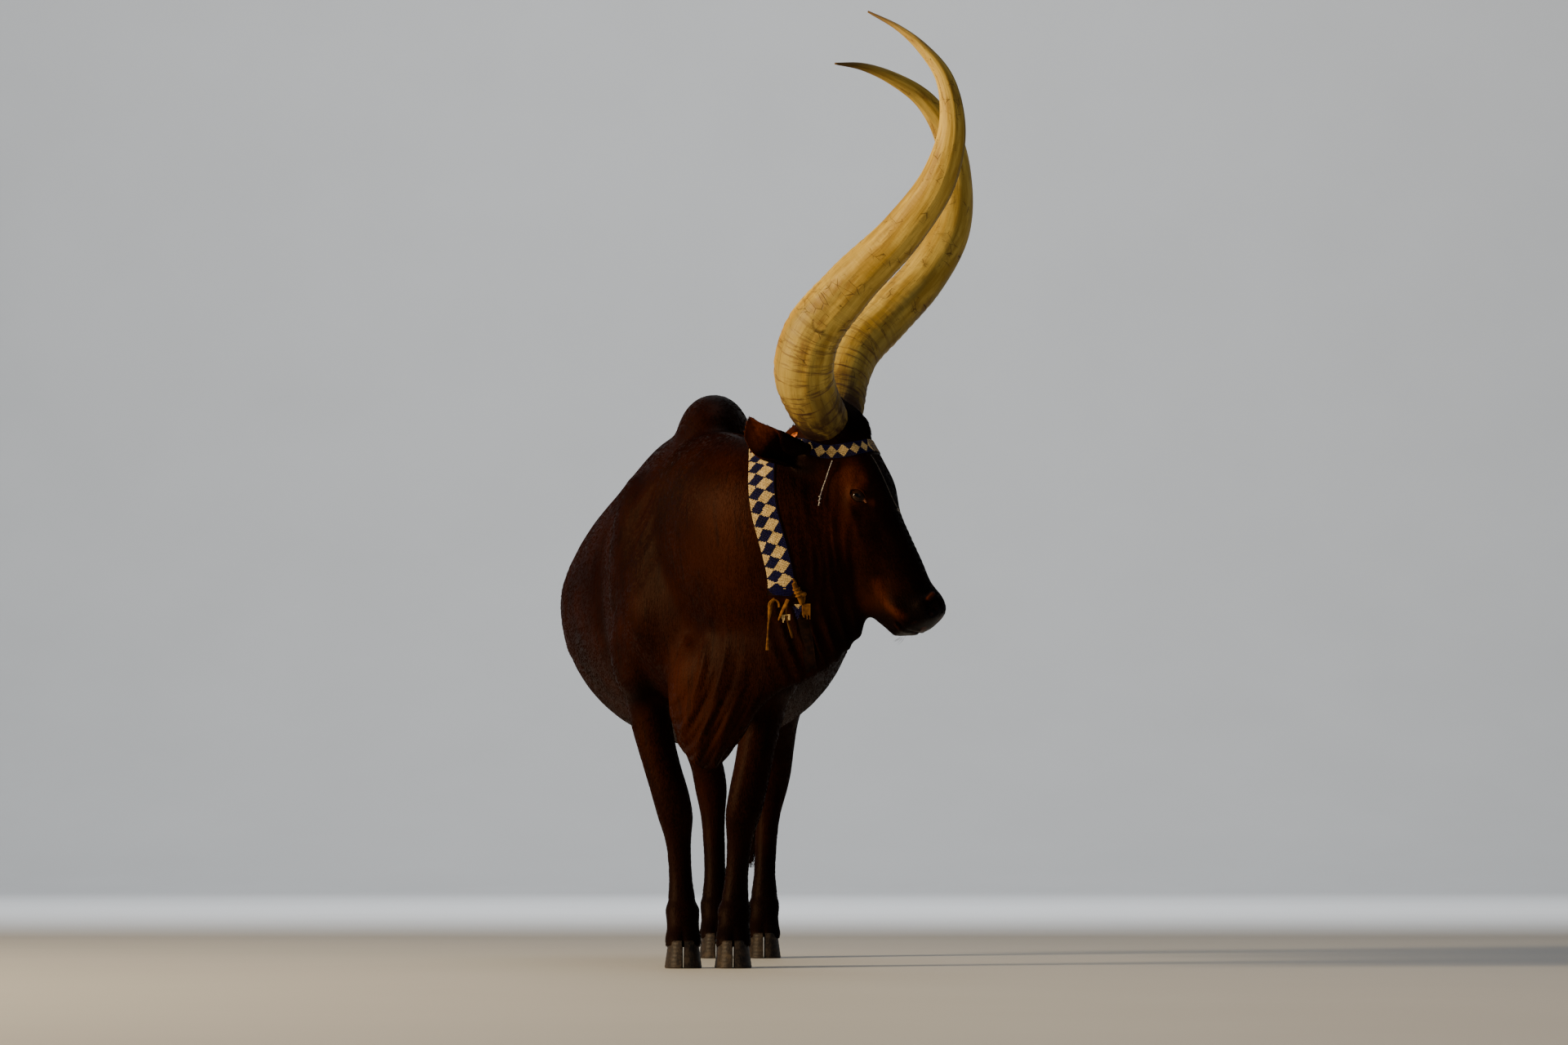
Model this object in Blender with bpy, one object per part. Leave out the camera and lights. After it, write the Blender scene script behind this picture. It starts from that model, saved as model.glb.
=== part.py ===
"""Life-size standing Ankole-Watusi bull, its head turned to its own left, with beaded headband and neck strap.

Frame while modelling: +X to the bull's left, +Y towards its tail, +Z up, in metres, hooves at z = 0.
At the end everything is shifted so that the origin is the middle of the box's floor.
"""

import math
import random

import bmesh
import bpy
import numpy as np
from mathutils import Matrix, Vector
from mathutils.bvhtree import BVHTree

# Driving sizes
GAP = 0.0003
SEAT = 0.0006
BAND_SEAT = 0.0025
VOXEL = 0.005
RING_POINTS = 40
FLESH_TRIANGLES = 4860
SEED = 7
LEAST_POINTS = 9
LEAST_BLEND = 0.22

# Head frame: poll, and the directions to the muzzle, to the bull's right and to the forehead's front
POLL = np.array([0.375, -1.020, 1.318])
TO_MUZZLE = np.array([0.401, -0.071, -0.914])
TO_RIGHT = np.array([-0.174, -0.985, 0.0])
TO_FRONT = np.array([0.900, -0.159, 0.407])

EYE_RADIUS = 0.0205
EYE_PLACE = (0.184, 0.0995, -0.088)
EYE_TILT = math.radians(32)
EYE_OPENING = (0.0205, 0.0118)

HEADBAND_WIDTH = 0.034
STRAP_WIDTH = 0.066
BAND_THICKNESS = 0.0055
BAND_SINK = 0.002
TAIL_STARTS = 0.70

# Loft rows: x, y, z of the widest place, half width, rise, drop, upper power, lower power
TORSO_ROWS = (
    (0.020, -0.830, 0.850, 0.050, 0.060, 0.070, 2.0, 2.0),
    (0.010, -0.770, 0.870, 0.140, 0.180, 0.180, 2.0, 2.0),
    (0.000, -0.640, 0.900, 0.205, 0.350, 0.265, 2.1, 2.0),
    (0.000, -0.460, 0.920, 0.230, 0.410, 0.305, 2.2, 2.2),
    (0.000, -0.280, 0.930, 0.278, 0.415, 0.340, 1.95, 2.1),
    (0.000, -0.080, 0.930, 0.345, 0.400, 0.362, 1.72, 2.0),
    (0.000, 0.150, 0.925, 0.385, 0.408, 0.370, 1.62, 2.0),
    (0.010, 0.340, 0.940, 0.355, 0.405, 0.340, 1.68, 2.05),
    (0.030, 0.520, 0.980, 0.280, 0.362, 0.275, 1.90, 2.2),
    (0.050, 0.680, 1.030, 0.205, 0.275, 0.225, 2.1, 2.2),
    (0.062, 0.790, 1.060, 0.120, 0.170, 0.150, 2.0, 2.0),
    (0.066, 0.840, 1.070, 0.045, 0.060, 0.050, 2.0, 2.0),
)
NECK_ROWS = (
    (0.000, -0.360, 1.020, 0.190, 0.275, 0.270, 2.1, 2.0),
    (0.010, -0.560, 1.050, 0.172, 0.258, 0.330, 2.1, 2.0),
    (0.040, -0.750, 1.075, 0.158, 0.225, 0.360, 2.0, 1.9),
    (0.100, -0.905, 1.085, 0.146, 0.188, 0.345, 2.0, 1.8),
    (0.190, -0.975, 1.085, 0.128, 0.160, 0.305, 2.0, 1.8),
    (0.275, -0.998, 1.090, 0.110, 0.152, 0.275, 2.0, 1.8),
    (0.340, -1.005, 1.100, 0.098, 0.145, 0.255, 2.0, 1.8),
)
DEWLAP_ROWS = (
    (0.372, -1.010, 0.950, 0.040, 0.090, 0.155, 2.0, 1.8),
    (0.310, -1.012, 0.915, 0.044, 0.100, 0.190, 2.0, 1.8),
    (0.240, -1.005, 0.880, 0.046, 0.120, 0.200, 2.0, 1.8),
    (0.175, -0.985, 0.840, 0.048, 0.130, 0.185, 2.0, 1.8),
    (0.120, -0.945, 0.780, 0.054, 0.140, 0.170, 2.0, 1.9),
    (0.055, -0.890, 0.710, 0.072, 0.140, 0.180, 2.0, 2.0),
    (0.010, -0.830, 0.680, 0.088, 0.150, 0.200, 2.0, 2.0),
    (-0.008, -0.755, 0.680, 0.092, 0.150, 0.192, 2.0, 2.0),
    (0.000, -0.670, 0.700, 0.080, 0.120, 0.115, 2.0, 2.0),
    (0.000, -0.580, 0.730, 0.060, 0.080, 0.080, 2.0, 2.0),
)
# The same in the head frame: distance to the muzzle, sideways, to the front
HEAD_ROWS = (
    (-0.070, 0.000, -0.098, 0.080, 0.048, 0.048, 2.2, 2.1),
    (-0.030, 0.000, -0.100, 0.105, 0.076, 0.066, 2.4, 2.2),
    (0.010, 0.000, -0.098, 0.112, 0.085, 0.096, 2.6, 2.2),
    (0.060, 0.000, -0.090, 0.110, 0.073, 0.150, 2.6, 2.2),
    (0.120, 0.000, -0.088, 0.108, 0.078, 0.165, 2.6, 2.2),
    (0.180, 0.000, -0.088, 0.106, 0.080, 0.160, 2.6, 2.2),
    (0.240, 0.000, -0.095, 0.093, 0.073, 0.145, 2.5, 2.2),
    (0.310, 0.000, -0.100, 0.076, 0.077, 0.122, 2.3, 2.2),
    (0.380, 0.000, -0.100, 0.067, 0.078, 0.104, 2.2, 2.2),
    (0.430, 0.000, -0.100, 0.066, 0.077, 0.094, 2.2, 2.2),
    (0.475, 0.000, -0.095, 0.070, 0.083, 0.078, 2.2, 2.2),
    (0.504, 0.000, -0.092, 0.067, 0.074, 0.060, 2.3, 2.2),
    (0.523, 0.000, -0.090, 0.050, 0.048, 0.040, 2.2, 2.2),
    (0.530, 0.000, -0.088, 0.026, 0.022, 0.024, 2.0, 2.0),
)
# Leg rows: height, x of the right leg, x of the left leg, y, half width, front, back, power
FORELEG_ROWS = (
    (0.860, -0.165, 0.165, -0.500, 0.060, 0.120, 0.110, 2.0),
    (0.740, -0.160, 0.158, -0.500, 0.062, 0.095, 0.105, 2.0),
    (0.660, -0.150, 0.145, -0.490, 0.058, 0.078, 0.088, 2.0),
    (0.590, -0.138, 0.130, -0.492, 0.053, 0.066, 0.070, 2.1),
    (0.500, -0.115, 0.112, -0.498, 0.049, 0.056, 0.056, 2.2),
    (0.430, -0.094, 0.098, -0.500, 0.048, 0.053, 0.050, 2.4),
    (0.375, -0.081, 0.087, -0.502, 0.046, 0.050, 0.048, 2.4),
    (0.310, -0.073, 0.078, -0.495, 0.034, 0.036, 0.041, 2.2),
    (0.240, -0.068, 0.072, -0.492, 0.031, 0.033, 0.038, 2.1),
    (0.185, -0.065, 0.068, -0.495, 0.034, 0.036, 0.044, 2.1),
    (0.140, -0.062, 0.065, -0.503, 0.044, 0.044, 0.050, 2.2),
    (0.100, -0.061, 0.063, -0.520, 0.041, 0.041, 0.044, 2.1),
    (0.070, -0.060, 0.062, -0.538, 0.047, 0.046, 0.046, 2.2),
    (0.050, -0.060, 0.062, -0.545, 0.046, 0.046, 0.045, 2.2),
)
HINDLEG_ROWS = (
    (1.060, -0.060, 0.180, 0.580, 0.080, 0.170, 0.160, 2.0),
    (0.950, -0.072, 0.195, 0.555, 0.105, 0.200, 0.190, 2.0),
    (0.850, -0.072, 0.203, 0.530, 0.104, 0.200, 0.195, 2.0),
    (0.740, -0.058, 0.198, 0.510, 0.085, 0.165, 0.155, 2.0),
    (0.650, -0.040, 0.184, 0.545, 0.065, 0.108, 0.108, 2.1),
    (0.565, -0.020, 0.184, 0.605, 0.051, 0.072, 0.078, 2.1),
    (0.505, 0.000, 0.181, 0.645, 0.046, 0.056, 0.066, 2.3),
    (0.455, 0.008, 0.172, 0.657, 0.045, 0.047, 0.062, 2.3),
    (0.390, 0.013, 0.163, 0.655, 0.036, 0.039, 0.046, 2.2),
    (0.300, 0.017, 0.156, 0.643, 0.032, 0.035, 0.038, 2.1),
    (0.195, 0.020, 0.152, 0.628, 0.034, 0.038, 0.044, 2.1),
    (0.140, 0.021, 0.151, 0.618, 0.044, 0.044, 0.050, 2.2),
    (0.100, 0.022, 0.150, 0.602, 0.041, 0.041, 0.044, 2.1),
    (0.070, 0.022, 0.150, 0.584, 0.047, 0.046, 0.046, 2.2),
    (0.050, 0.022, 0.150, 0.577, 0.046, 0.046, 0.045, 2.2),
)
# Masses laid over the lofts: centre and radii
MASSES = (
    ((0.014, -0.460, 1.290), (0.098, 0.195, 0.128)),
    ((-0.160, -0.470, 0.960), (0.090, 0.170, 0.270)),
    ((0.160, -0.470, 0.960), (0.090, 0.170, 0.270)),
    ((-0.168, -0.520, 0.790), (0.077, 0.150, 0.150)),
    ((0.168, -0.520, 0.790), (0.077, 0.150, 0.150)),
    ((-0.120, -0.660, 0.860), (0.085, 0.110, 0.130)),
    ((0.120, -0.660, 0.860), (0.085, 0.110, 0.130)),
    ((-0.110, 0.500, 1.170), (0.110, 0.150, 0.120)),
    ((0.175, 0.500, 1.170), (0.110, 0.150, 0.120)),
)
SHEATH_ROWS = (
    (-0.008, 0.240, 0.585, 0.034),
    (-0.010, 0.150, 0.555, 0.040),
    (-0.012, 0.085, 0.533, 0.034),
    (-0.012, 0.055, 0.515, 0.020),
)
SCROTUM_ROWS = (
    (0.075, 0.480, 0.760, 0.040),
    (0.075, 0.478, 0.700, 0.034),
    (0.075, 0.475, 0.650, 0.035),
    (0.075, 0.472, 0.600, 0.040),
    (0.075, 0.472, 0.565, 0.024),
)
TAIL_ROWS = (
    (0.064, 0.700, 1.230, 0.050),
    (0.070, 0.790, 1.215, 0.046),
    (0.078, 0.860, 1.150, 0.036),
    (0.088, 0.892, 1.020, 0.026),
    (0.098, 0.898, 0.850, 0.020),
    (0.108, 0.893, 0.680, 0.017),
    (0.112, 0.885, 0.540, 0.015),
)
SWITCH_TOP = (0.112, 0.885, 0.560)
SWITCH_BOTTOM = 0.240

# Horn centre lines: x, y, z, radius
NEAR_HORN_ROWS = (
    (0.282, -1.064, 1.286, 0.0540),
    (0.263, -1.107, 1.306, 0.0605),
    (0.240, -1.162, 1.340, 0.0650),
    (0.222, -1.212, 1.396, 0.0700),
    (0.235, -1.250, 1.468, 0.0685),
    (0.322, -1.309, 1.582, 0.0600),
    (0.447, -1.373, 1.707, 0.0500),
    (0.530, -1.428, 1.827, 0.0410),
    (0.556, -1.462, 1.933, 0.0310),
    (0.538, -1.468, 2.045, 0.0205),
    (0.487, -1.437, 2.122, 0.0130),
    (0.437, -1.398, 2.172, 0.0075),
    (0.368, -1.349, 2.219, 0.0025),
)
FAR_HORN_ROWS = (
    (0.302, -0.946, 1.286, 0.0540),
    (0.302, -0.900, 1.310, 0.0605),
    (0.310, -0.858, 1.352, 0.0640),
    (0.320, -0.815, 1.418, 0.0660),
    (0.350, -0.777, 1.490, 0.0650),
    (0.428, -0.735, 1.575, 0.0605),
    (0.524, -0.689, 1.683, 0.0555),
    (0.588, -0.649, 1.801, 0.0515),
    (0.603, -0.612, 1.920, 0.0450),
    (0.590, -0.600, 2.035, 0.0340),
    (0.535, -0.630, 2.122, 0.0250),
    (0.452, -0.679, 2.172, 0.0165),
    (0.375, -0.718, 2.195, 0.0095),
    (0.307, -0.758, 2.196, 0.0025),
)

# Ears: the way the cup looks, then x, y, z, half width from root to tip
RIGHT_EAR = ((-0.28, -0.90, -0.28), (
    (0.254, -1.070, 1.204, 0.024),
    (0.224, -1.090, 1.209, 0.031),
    (0.177, -1.118, 1.222, 0.041),
    (0.136, -1.142, 1.238, 0.044),
    (0.109, -1.157, 1.262, 0.033),
    (0.096, -1.162, 1.294, 0.003),
))
LEFT_EAR = ((0.045, 0.940, -0.280), (
    (0.282, -0.935, 1.206, 0.024),
    (0.266, -0.905, 1.216, 0.031),
    (0.240, -0.862, 1.238, 0.041),
    (0.222, -0.820, 1.258, 0.047),
    (0.211, -0.798, 1.282, 0.035),
    (0.207, -0.790, 1.308, 0.003),
))
TAG_RADIUS = 0.013
TAG_PLACE = (0.211, 1.280)

# Headband route in the head frame and neck strap route
HEADBAND_ROUTE = (
    (0.080, 0.000, -0.020),
    (0.080, 0.060, -0.022),
    (0.079, 0.100, -0.040),
    (0.073, 0.110, -0.071),
    (0.066, 0.110, -0.097),
    (0.056, 0.106, -0.120),
    (0.045, 0.098, -0.137),
    (0.036, 0.084, -0.148),
    (0.030, 0.055, -0.156),
    (0.028, 0.000, -0.160),
)
STRAP_ROUTE = (
    (0.172, -1.050, 0.885),
    (0.172, -1.080, 0.914),
    (0.160, -1.090, 0.960),
    (0.149, -1.095, 1.007),
    (0.134, -1.095, 1.055),
    (0.126, -1.090, 1.100),
    (0.124, -1.075, 1.145),
    (0.127, -1.045, 1.195),
    (0.128, -0.985, 1.250),
    (0.130, -0.915, 1.262),
    (0.145, -0.845, 1.215),
    (0.172, -0.812, 1.140),
    (0.195, -0.812, 1.060),
    (0.212, -0.838, 0.970),
    (0.226, -0.885, 0.880),
    (0.236, -0.940, 0.790),
    (0.240, -0.985, 0.715),
    (0.240, -1.030, 0.715),
    (0.232, -1.060, 0.775),
    (0.220, -1.062, 0.835),
    (0.210, -1.060, 0.870),
)

# Free thongs and bead strings: route points and diameter
THONG_LONG = ((0.156, -1.064, 0.876), (0.147, -1.066, 0.866), (0.145, -1.067, 0.848),
              (0.141, -1.067, 0.812), (0.139, -1.067, 0.755))
THONG_WIDE = ((0.187, -1.070, 0.874), (0.181, -1.071, 0.861), (0.172, -1.071, 0.843),
              (0.165, -1.071, 0.825))
THONG_SHORT = ((0.185, -1.061, 0.862), (0.184, -1.061, 0.846), (0.186, -1.061, 0.826),
               (0.192, -1.061, 0.805), (0.198, -1.061, 0.784))
CHEEK_STRING = ((0.2903, -1.1175, 1.1975), (0.2837, -1.1142, 1.1800), (0.2765, -1.1114, 1.1575),
                (0.2692, -1.1095, 1.1370), (0.2623, -1.1095, 1.1140), (0.2586, -1.1100, 1.0920))
BROW_STRING = ((0.3815, -1.1018, 1.2125), (0.3922, -1.1018, 1.1962), (0.4077, -1.1040, 1.1649),
               (0.4234, -1.0990, 1.1304), (0.4338, -1.0895, 1.1082), (0.4512, -1.0645, 1.0790))
KNOT_ROWS = ((0.2000, -1.0850, 0.9120, 0.0048), (0.2100, -1.0775, 0.8930, 0.0078),
             (0.2160, -1.0730, 0.8780, 0.0068), (0.2200, -1.0695, 0.8620, 0.0044))
THONG_DIAMETER = 0.006
STRING_DIAMETER = 0.0022

# Cutting slabs between the named parts: a point on the cut, its normal, its size
HEAD_CUT = 0.252
NECK_CUT = ((0.020, -0.690, 1.080), (0.10, -0.93, 0.35))
DEWLAP_CUT = ((0.020, -0.830, 0.6575), (0.0, 0.330, 0.944))


# Small helpers

def clear_scene():
    """Removes every object that the open file holds."""
    for item in list(bpy.data.objects):
        bpy.data.objects.remove(item, do_unlink=True)


def material(name, colour, roughness, metallic=0.0):
    """A plain Principled material."""
    made = bpy.data.materials.new(name)
    made.use_nodes = True
    shader = made.node_tree.nodes["Principled BSDF"]
    shader.inputs["Base Color"].default_value = (*colour, 1.0)
    shader.inputs["Roughness"].default_value = roughness
    shader.inputs["Metallic"].default_value = metallic
    return made


def unit(vector):
    vector = np.asarray(vector, float)
    return vector / np.linalg.norm(vector)


def head_point(place):
    """A place in the head frame (to muzzle, to the right, to the front) in the bull's frame."""
    forward, right, front = place
    return POLL + forward * TO_MUZZLE + right * TO_RIGHT + front * TO_FRONT


def along(rows, count):
    """Rows read evenly along a smooth curve through the given rows, whose first three columns are places."""
    rows = np.asarray(rows, float)
    knots = np.concatenate([[0.0], np.cumsum(np.linalg.norm(np.diff(rows[:, :3], axis=0), axis=1))])
    slopes = np.gradient(rows, knots, axis=0)
    at = np.linspace(0.0, knots[-1], count)
    left = np.clip(np.searchsorted(knots, at, side="right") - 1, 0, len(knots) - 2)
    span = (knots[left + 1] - knots[left])[:, None]
    t = (at - knots[left])[:, None] / span
    start = (2 * t**3 - 3 * t**2 + 1) * rows[left] + (t**3 - 2 * t**2 + t) * slopes[left] * span
    end = (3 * t**2 - 2 * t**3) * rows[left + 1] + (t**3 - t**2) * slopes[left + 1] * span
    return start + end


def mesh_object(name, points, faces):
    """A new object with outward normals."""
    mesh = bpy.data.meshes.new(name)
    mesh.from_pydata([tuple(p) for p in points], [], [tuple(int(i) for i in f) for f in faces])
    shape = bmesh.new()
    shape.from_mesh(mesh)
    bmesh.ops.recalc_face_normals(shape, faces=shape.faces)
    shape.to_mesh(mesh)
    shape.free()
    made = bpy.data.objects.new(name, mesh)
    bpy.context.scene.collection.objects.link(made)
    return made


def loft(name, rings, closed=False):
    """A skin through rings of equal length, capped at both ends unless it closes on itself."""
    count, size = len(rings), len(rings[0])
    points = np.concatenate(rings)
    faces = []
    for k in range(count if closed else count - 1):
        a, b = k * size, (k + 1) % count * size
        for i in range(size):
            j = (i + 1) % size
            faces.append((a + i, a + j, b + j, b + i))
    if not closed:
        faces.append(tuple(range(size - 1, -1, -1)))
        faces.append(tuple((count - 1) * size + i for i in range(size)))
    return mesh_object(name, points, faces)


def section(row, side, up, count=RING_POINTS):
    """A superellipse ring; the row is centre, half width, rise, drop, upper power, lower power."""
    turn = np.linspace(0.0, 2 * math.pi, count, endpoint=False)
    c, s = np.cos(turn), np.sin(turn)
    power = np.where(s > 0, row[6], row[7])
    across = np.sign(c) * np.abs(c) ** (2 / power) * row[3]
    high = np.sign(s) * np.abs(s) ** (2 / power) * np.where(s > 0, row[4], row[5])
    return row[:3] + across[:, None] * side + high[:, None] * up


def sweep(name, rows, sides, count=None):
    """A round tube along x, y, z, radius rows, its frame carried without twisting."""
    rows = along(rows, count) if count else np.asarray(rows, float)
    rings, side = [], None
    for k, row in enumerate(rows):
        ahead = unit(rows[min(k + 1, len(rows) - 1), :3] - rows[max(k - 1, 0), :3])
        if side is None:
            side = unit(np.cross(ahead, (0.31, 0.17, 0.93)))
        side = unit(side - ahead * (side @ ahead))
        over = np.cross(ahead, side)
        turn = np.linspace(0.0, 2 * math.pi, sides, endpoint=False)[:, None]
        rings.append(row[:3] + row[3] * (np.cos(turn) * side + np.sin(turn) * over))
    return loft(name, rings)


def ball(name, centre, radii, subdivisions=4):
    """An ellipsoid of near-even triangles."""
    shape = bmesh.new()
    bmesh.ops.create_icosphere(shape, subdivisions=subdivisions, radius=1.0)
    mesh = bpy.data.meshes.new(name)
    shape.to_mesh(mesh)
    shape.free()
    mesh.transform(Matrix.Translation(Vector(centre)) @ Matrix.Diagonal((*radii, 1.0)))
    made = bpy.data.objects.new(name, mesh)
    bpy.context.scene.collection.objects.link(made)
    return made


def slab(name, place, normal, across, size):
    """A thin box whose flat lies on a cutting plane; size is its extent along and square to across."""
    normal = unit(normal)
    along_plane = unit(np.asarray(across, float) - normal * (np.asarray(across, float) @ normal))
    other = np.cross(normal, along_plane)
    corners = []
    for n in (-0.5, 0.5):
        for a, b in ((-1, -1), (1, -1), (1, 1), (-1, 1)):
            step = n * GAP * 1.3 * normal + a * size[0] / 2 * along_plane + b * size[1] / 2 * other
            corners.append(np.asarray(place, float) + step)
    faces = ((0, 1, 2, 3), (4, 5, 6, 7), (0, 1, 5, 4), (1, 2, 6, 5), (2, 3, 7, 6), (3, 0, 4, 7))
    return mesh_object(name, corners, faces)


def settle(thing):
    """Gives an object the mesh that its modifiers make, and drops the modifiers."""
    graph = bpy.context.evaluated_depsgraph_get()
    graph.update()
    made = bpy.data.meshes.new_from_object(thing.evaluated_get(graph), depsgraph=graph)
    thing.modifiers.clear()
    thing.data = made


def joined(name, things):
    """One object with the meshes of several, not yet united."""
    shape = bmesh.new()
    for thing in things:
        shape.from_mesh(thing.data)
        bpy.data.objects.remove(thing, do_unlink=True)
    mesh = bpy.data.meshes.new(name)
    shape.to_mesh(mesh)
    shape.free()
    made = bpy.data.objects.new(name, mesh)
    bpy.context.scene.collection.objects.link(made)
    return made


def boolean(thing, others, operation):
    """One applied Boolean with a collection of closed meshes, which is then removed.

    The exact solver leaves open edges where the bands lie nearly flush with the flesh.
    """
    group = bpy.data.collections.new("operands")
    bpy.context.scene.collection.children.link(group)
    for other in others:
        group.objects.link(other)
    step = thing.modifiers.new("join", "BOOLEAN")
    step.operation = operation
    step.operand_type = "COLLECTION"
    step.collection = group
    step.solver = "MANIFOLD"
    settle(thing)
    for other in others:
        bpy.data.objects.remove(other, do_unlink=True)
    bpy.data.collections.remove(group)


def islands(mesh):
    """The vertex sets of a mesh's separate surfaces, largest first."""
    count = len(mesh.vertices)
    ends = np.empty(len(mesh.edges) * 2, int)
    mesh.edges.foreach_get("vertices", ends)
    ends = ends.reshape(-1, 2)
    label = np.arange(count)
    while True:
        low = label.copy()
        np.minimum.at(low, ends[:, 0], label[ends[:, 1]])
        np.minimum.at(low, ends[:, 1], label[ends[:, 0]])
        low = low[low]
        if (low == label).all():
            break
        label = low
    names, sizes = np.unique(label, return_counts=True)
    return [np.flatnonzero(label == n) for n in names[np.argsort(-sizes)]]


def keep_only(thing, wanted):
    """Deletes every vertex that is not wanted."""
    keep = np.zeros(len(thing.data.vertices), bool)
    keep[wanted] = True
    shape = bmesh.new()
    shape.from_mesh(thing.data)
    shape.verts.ensure_lookup_table()
    bmesh.ops.delete(shape, geom=[v for v in shape.verts if not keep[v.index]], context="VERTS")
    shape.to_mesh(thing.data)
    shape.free()


def part_off(body, cut, name, place):
    """Cuts a body with a slab and returns the piece nearest to a place under its own name."""
    boolean(body, [cut], "DIFFERENCE")
    points = np.array([v.co[:] for v in body.data.vertices])
    pieces = [p for p in islands(body.data) if len(p) > LEAST_POINTS]
    if len(pieces) < 2:
        raise ValueError(f"the cut for {name} does not go through")
    far = [np.linalg.norm(points[p] - place, axis=1).min() for p in pieces]
    chosen = int(np.argmin(far))
    rest = [p for k, p in enumerate(pieces) if k != chosen]
    made = body.copy()
    made.data = body.data.copy()
    made.name = name
    bpy.context.scene.collection.objects.link(made)
    keep_only(made, pieces[chosen])
    keep_only(body, max(rest, key=len))
    return made


def relax(points, edges, weight, rounds):
    """Laplacian smoothing with an own weight for each vertex."""
    size = len(points)
    degree = np.bincount(edges.ravel(), minlength=size)[:, None]
    a, b = edges[:, 0], edges[:, 1]
    for _ in range(rounds):
        total = np.empty_like(points)
        for k in range(3):
            total[:, k] = np.bincount(a, points[b, k], size) + np.bincount(b, points[a, k], size)
        points = points + weight[:, None] * (total / degree - points)
    return points


# Flesh

def to_frame(rows, side_up):
    """Rings of loft rows, each with the side and up directions that side_up gives for its place."""
    return [section(row, *side_up(k, rows)) for k, row in enumerate(rows)]


def level_frame(k, rows):
    """Upright rings square to the level direction of the path."""
    ahead = rows[min(k + 1, len(rows) - 1), :3] - rows[max(k - 1, 0), :3]
    ahead = unit((ahead[0], ahead[1], 0.0))
    return np.array([-ahead[1], ahead[0], 0.0]), np.array([0.0, 0.0, 1.0])


def trunk_loft():
    rows = along(TORSO_ROWS, 44)
    axes = np.array([1.0, 0.0, 0.0]), np.array([0.0, 0.0, 1.0])
    return loft("trunk", [section(row, *axes) for row in rows])


def head_loft():
    rows = along(HEAD_ROWS, 40)
    rings = []
    for row in rows:
        centre = head_point(row[:3])
        rings.append(section(np.concatenate([centre, row[3:]]), TO_RIGHT, TO_FRONT))
    return loft("skull", rings)


def leg_loft(name, rows, column):
    """A leg of level rings; the column is 1 for the right leg and 2 for the left."""
    table = np.array([(r[column], r[3], r[0], r[4], r[5], r[6], r[7], r[7]) for r in rows])
    table = along(table, 48)
    side, ahead = np.array([1.0, 0.0, 0.0]), np.array([0.0, -1.0, 0.0])
    return loft(name, [section(row, side, ahead, 28) for row in table])


def flesh_mass():
    """All of the flesh but the ears as one closed mesh of small even faces."""
    pieces = [trunk_loft(), head_loft()]
    for name, rows in (("neck_mass", NECK_ROWS), ("dewlap_mass", DEWLAP_ROWS)):
        pieces.append(loft(name, to_frame(along(rows, 36), level_frame)))
    for column in (1, 2):
        pieces.append(leg_loft(f"fore{column}", FORELEG_ROWS, column))
        pieces.append(leg_loft(f"hind{column}", HINDLEG_ROWS, column))
    for name, rows in (("sheath", SHEATH_ROWS), ("scrotum", SCROTUM_ROWS), ("tail", TAIL_ROWS)):
        pieces.append(sweep(name, rows, 20, 20))
    for centre, radii in MASSES:
        pieces.append(ball("mass", centre, radii))
    for side in (1, -1):
        pieces.append(ball("ear_root", head_point((0.045, side * 0.084, -0.160)), (0.036, 0.036, 0.036)))
        pieces.append(ball("orbit", head_point((0.180, side * 0.086, -0.085)), (0.037, 0.037, 0.037)))
        pieces.append(ball("cheek", head_point((0.190, side * 0.058, -0.185)), (0.060, 0.040, 0.075)))
        pieces.append(ball("nostril_wing", head_point((0.480, side * 0.050, -0.062)), (0.030, 0.026, 0.032)))
    body = joined("torso", pieces)
    remesh = body.modifiers.new("fuse", "REMESH")
    remesh.mode = "VOXEL"
    remesh.voxel_size = VOXEL
    settle(body)
    return body


def coordinates(mesh):
    points = np.empty(len(mesh.vertices) * 3)
    mesh.vertices.foreach_get("co", points)
    return points.reshape(-1, 3)


def edge_ends(mesh):
    ends = np.empty(len(mesh.edges) * 2, int)
    mesh.edges.foreach_get("vertices", ends)
    return ends.reshape(-1, 2)


def in_head_frame(points):
    rel = points - POLL
    return np.stack([rel @ TO_MUZZLE, rel @ TO_RIGHT, rel @ TO_FRONT], axis=1)


def bump(local, centre, radius):
    """How strongly a place counts for each point, 1 at the centre and near 0 a radius away."""
    far = np.linalg.norm((local - np.array(centre)) / np.array(radius), axis=1)
    return np.exp(-2.2 * far**2)


def line_depth(local, route, width):
    """1 along a line through the route's points, falling to 0 over a width."""
    fine = along(route, 40)
    far = np.full(len(local), 1e9)
    for a, b in zip(fine[:-1], fine[1:]):
        step = b - a
        t = np.clip((local - a) @ step / (step @ step), 0, 1)[:, None]
        far = np.minimum(far, np.linalg.norm(local - a - t * step, axis=1))
    return np.exp(-2.2 * (far / width) ** 2)


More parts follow.
